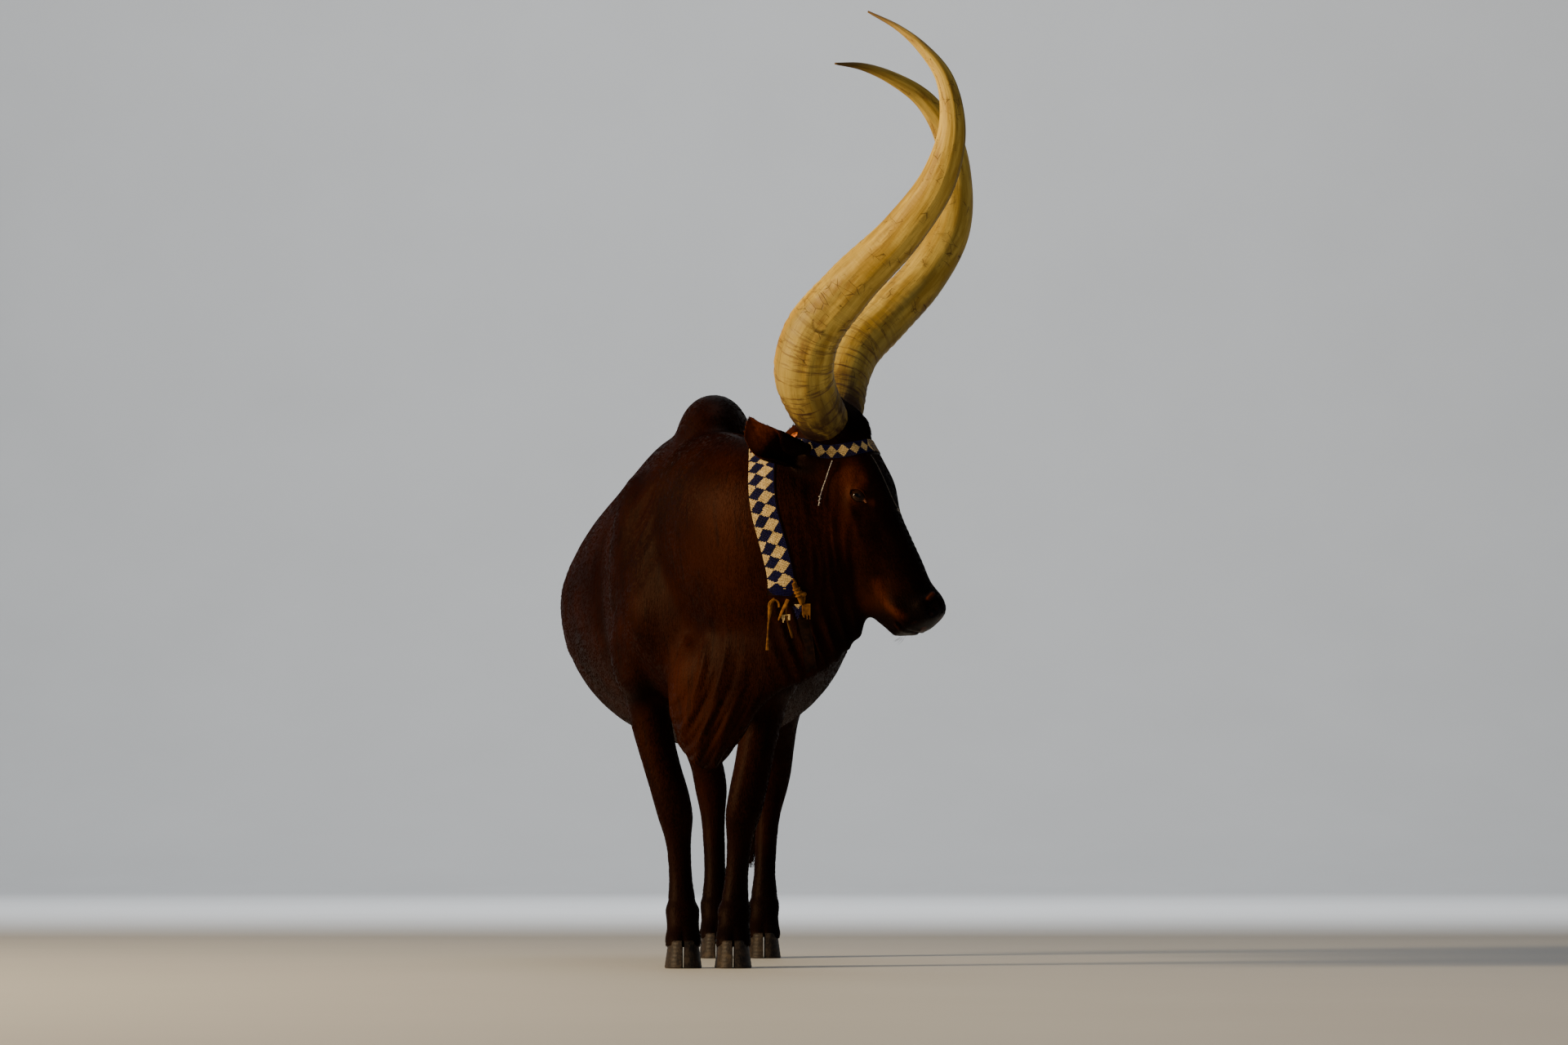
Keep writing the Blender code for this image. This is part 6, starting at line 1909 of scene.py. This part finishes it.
def place(made, look, slot=None, *nodes):
    """Shifts a piece onto the solids, gives it its finish and hides the nodes that it stands for. The slot is
    not used.
    """
    made.data.materials.clear()
    made.data.materials.append(look)
    made.data.transform(Matrix.Translation(Vector(SHIFT)))
    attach(made, "root")
    if nodes:
        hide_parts(*nodes)


def tree_of(mesh):
    return BVHTree.FromPolygons([v.co for v in mesh.vertices], [tuple(f.vertices) for f in mesh.polygons])


def camera_and_lights():
    """The low, distant view of the picture, and soft studio light from the left front."""
    lens = bpy.data.cameras.new("camera")
    lens.lens, lens.sensor_width = CAMERA_LENS, 36.0
    lens.clip_end = 100.0
    camera = bpy.data.objects.new("camera", lens)
    bpy.context.scene.collection.objects.link(camera)
    camera.location = Vector(CAMERA_SPOT) + Vector(SHIFT)
    camera.rotation_euler = (math.pi / 2 + CAMERA_RISE, 0.0, -CAMERA_TURN)
    bpy.context.scene.camera = camera
    for name, spot, target, size, power, colour in LIGHTS:
        light = bpy.data.lights.new(name, "AREA")
        light.shape, light.size, light.energy, light.color = "DISK", size, power, colour
        lamp = bpy.data.objects.new(name, light)
        bpy.context.scene.collection.objects.link(lamp)
        lamp.location = spot
        lamp.rotation_euler = (Vector(target) - Vector(spot)).to_track_quat("-Z", "Y").to_euler()
    world = bpy.data.worlds.new("studio")
    bpy.context.scene.world = world
    world.use_nodes = True
    world.node_tree.nodes["Background"].inputs[0].default_value = (*WORLD_COLOUR, 1.0)
    world.node_tree.nodes["Background"].inputs[1].default_value = WORLD_STRENGTH


def studio_floor():
    """A pale sheet that curves up into a wall far behind the bull."""
    bpy.ops.mesh.primitive_plane_add(size=1.0, location=(0.0, 0.0, 0.0))
    floor = bpy.context.object
    floor.name = "studio_floor"
    floor.scale = (60.0, 60.0, 1.0)
    bpy.ops.object.transform_apply(location=True, rotation=True, scale=True)
    bpy.ops.object.mode_set(mode="EDIT")
    bpy.ops.mesh.select_mode(type="EDGE")
    bpy.ops.mesh.select_all(action="DESELECT")
    bpy.ops.object.mode_set(mode="OBJECT")
    for edge in floor.data.edges:
        edge.select = all(floor.data.vertices[i].co.y > 1 for i in edge.vertices)
    bpy.ops.object.mode_set(mode="EDIT")
    bpy.ops.mesh.extrude_region_move(TRANSFORM_OT_translate={"value": (0, 0, 24)})
    bpy.ops.object.mode_set(mode="OBJECT")
    apply_step(floor, "BEVEL", width=8.0, segments=16)
    smooth(floor)
    floor.data.materials.append(floor_look())


bpy.ops.object.select_all(action="DESELECT")
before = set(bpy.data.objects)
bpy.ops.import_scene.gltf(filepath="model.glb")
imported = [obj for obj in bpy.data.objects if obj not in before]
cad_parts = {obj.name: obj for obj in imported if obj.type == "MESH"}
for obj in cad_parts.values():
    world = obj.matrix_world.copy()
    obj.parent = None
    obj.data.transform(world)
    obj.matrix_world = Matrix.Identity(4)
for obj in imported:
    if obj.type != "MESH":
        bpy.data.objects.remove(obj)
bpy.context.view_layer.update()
eye_low, eye_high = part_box("eye_right")
SHIFT = (np.array(eye_low) + np.array(eye_high)) / 2 - head_point(EYE_PLACE)

camera_and_lights()
leather = leather_look("leather", (0.210, 0.088, 0.018), (0.080, 0.030, 0.007))
dark_leather = leather_look("dark_leather", (0.0140, 0.0050, 0.0020), (0.0050, 0.0020, 0.0010))
string = string_look("bead_string", (0.420, 0.370, 0.300), (0.100, 0.090, 0.110))
dim_string = string_look("dim_string", (0.070, 0.058, 0.050), (0.012, 0.009, 0.009))
hang_cords({"leather": leather, "string": string, "dim": dim_string})

hide = hide_look()
skin = flesh_mass()
surface = shape_flesh(skin)
ears = [ear(*RIGHT_EAR), ear(*LEFT_EAR)]
tag_tree = tree_of(ears[1].data)
finish_skin(skin, ears)
smooth(skin)
unwrap(skin)

horn_finish, hoof_finish, eye_finish = horn_look(), hoof_look(), eye_look()
flesh = flesh_look()
for side, rows in (("right", NEAR_HORN_ROWS), ("left", FAR_HORN_ROWS)):
    made = horn(f"{side}_horn", rows)
    smooth(made)
    place(made, horn_finish, "horn", f"horn_{side}")
for name, side in (("right", 1), ("left", -1)):
    ball_made = eyeball(f"{name}_eyeball", side)
    smooth(ball_made)
    place(ball_made, eye_finish, "eye", f"eye_{name}")
    lids = eyelids(f"{name}_eyelids", side, surface)
    mark_hide(lids.data)
    smooth(lids)
    place(lids, hide, "hide")
    tear_corner(f"{name}_tear_corner", side, flesh)
feet(hoof_finish)

looks = {"leather": dark_leather,
         "cream": bead_look("cream_beads", (0.800, 0.600, 0.270), (0.500, 0.340, 0.130), 0.45),
         "navy": bead_look("navy_beads", (0.0036, 0.0026, 0.0560), (0.0012, 0.0008, 0.0150), 0.40)}
BAND_TREES = []
dress_bands(surface, looks)
strap_tie(leather)
strap_end(looks, leather)
whiskers(hide)
ear_tag(tag_tree, tag_look())
place(switch_locks(), hide, "hide", "tail_switch")

parts = skin_triangles(skin)
zones = {
    "coat_head": lambda c: (in_head_frame(c)[:, 2] > -0.27) & (c[:, 0] > 0.22) | (ear_axes(c)[1] > 0.2),
    "coat_neck": lambda c: (c[:, 1] < -0.62),
    "coat_legs": lambda c: (c[:, 2] < 0.62) & (np.abs(c[:, 1] - 0.02) > 0.36),
    "coat_right": lambda c: c[:, 0] < 0.03,
    "coat_left": lambda c: c[:, 0] >= 0.03,
}
centres = parts[0].mean(axis=1)
taken = np.zeros(len(centres), bool)
chosen = {}
for name, test in zones.items():
    chosen[name] = test(centres) & ~taken
    taken |= chosen[name]
for k, (name, count) in enumerate(TUFT_COUNTS):
    place(grow(name, parts, lambda c, name=name: chosen[name], count, SEED + k), hide, "hide")
mark_hide(skin.data)
place(skin, hide, "hide", *FLESH_NODES)

studio_floor()
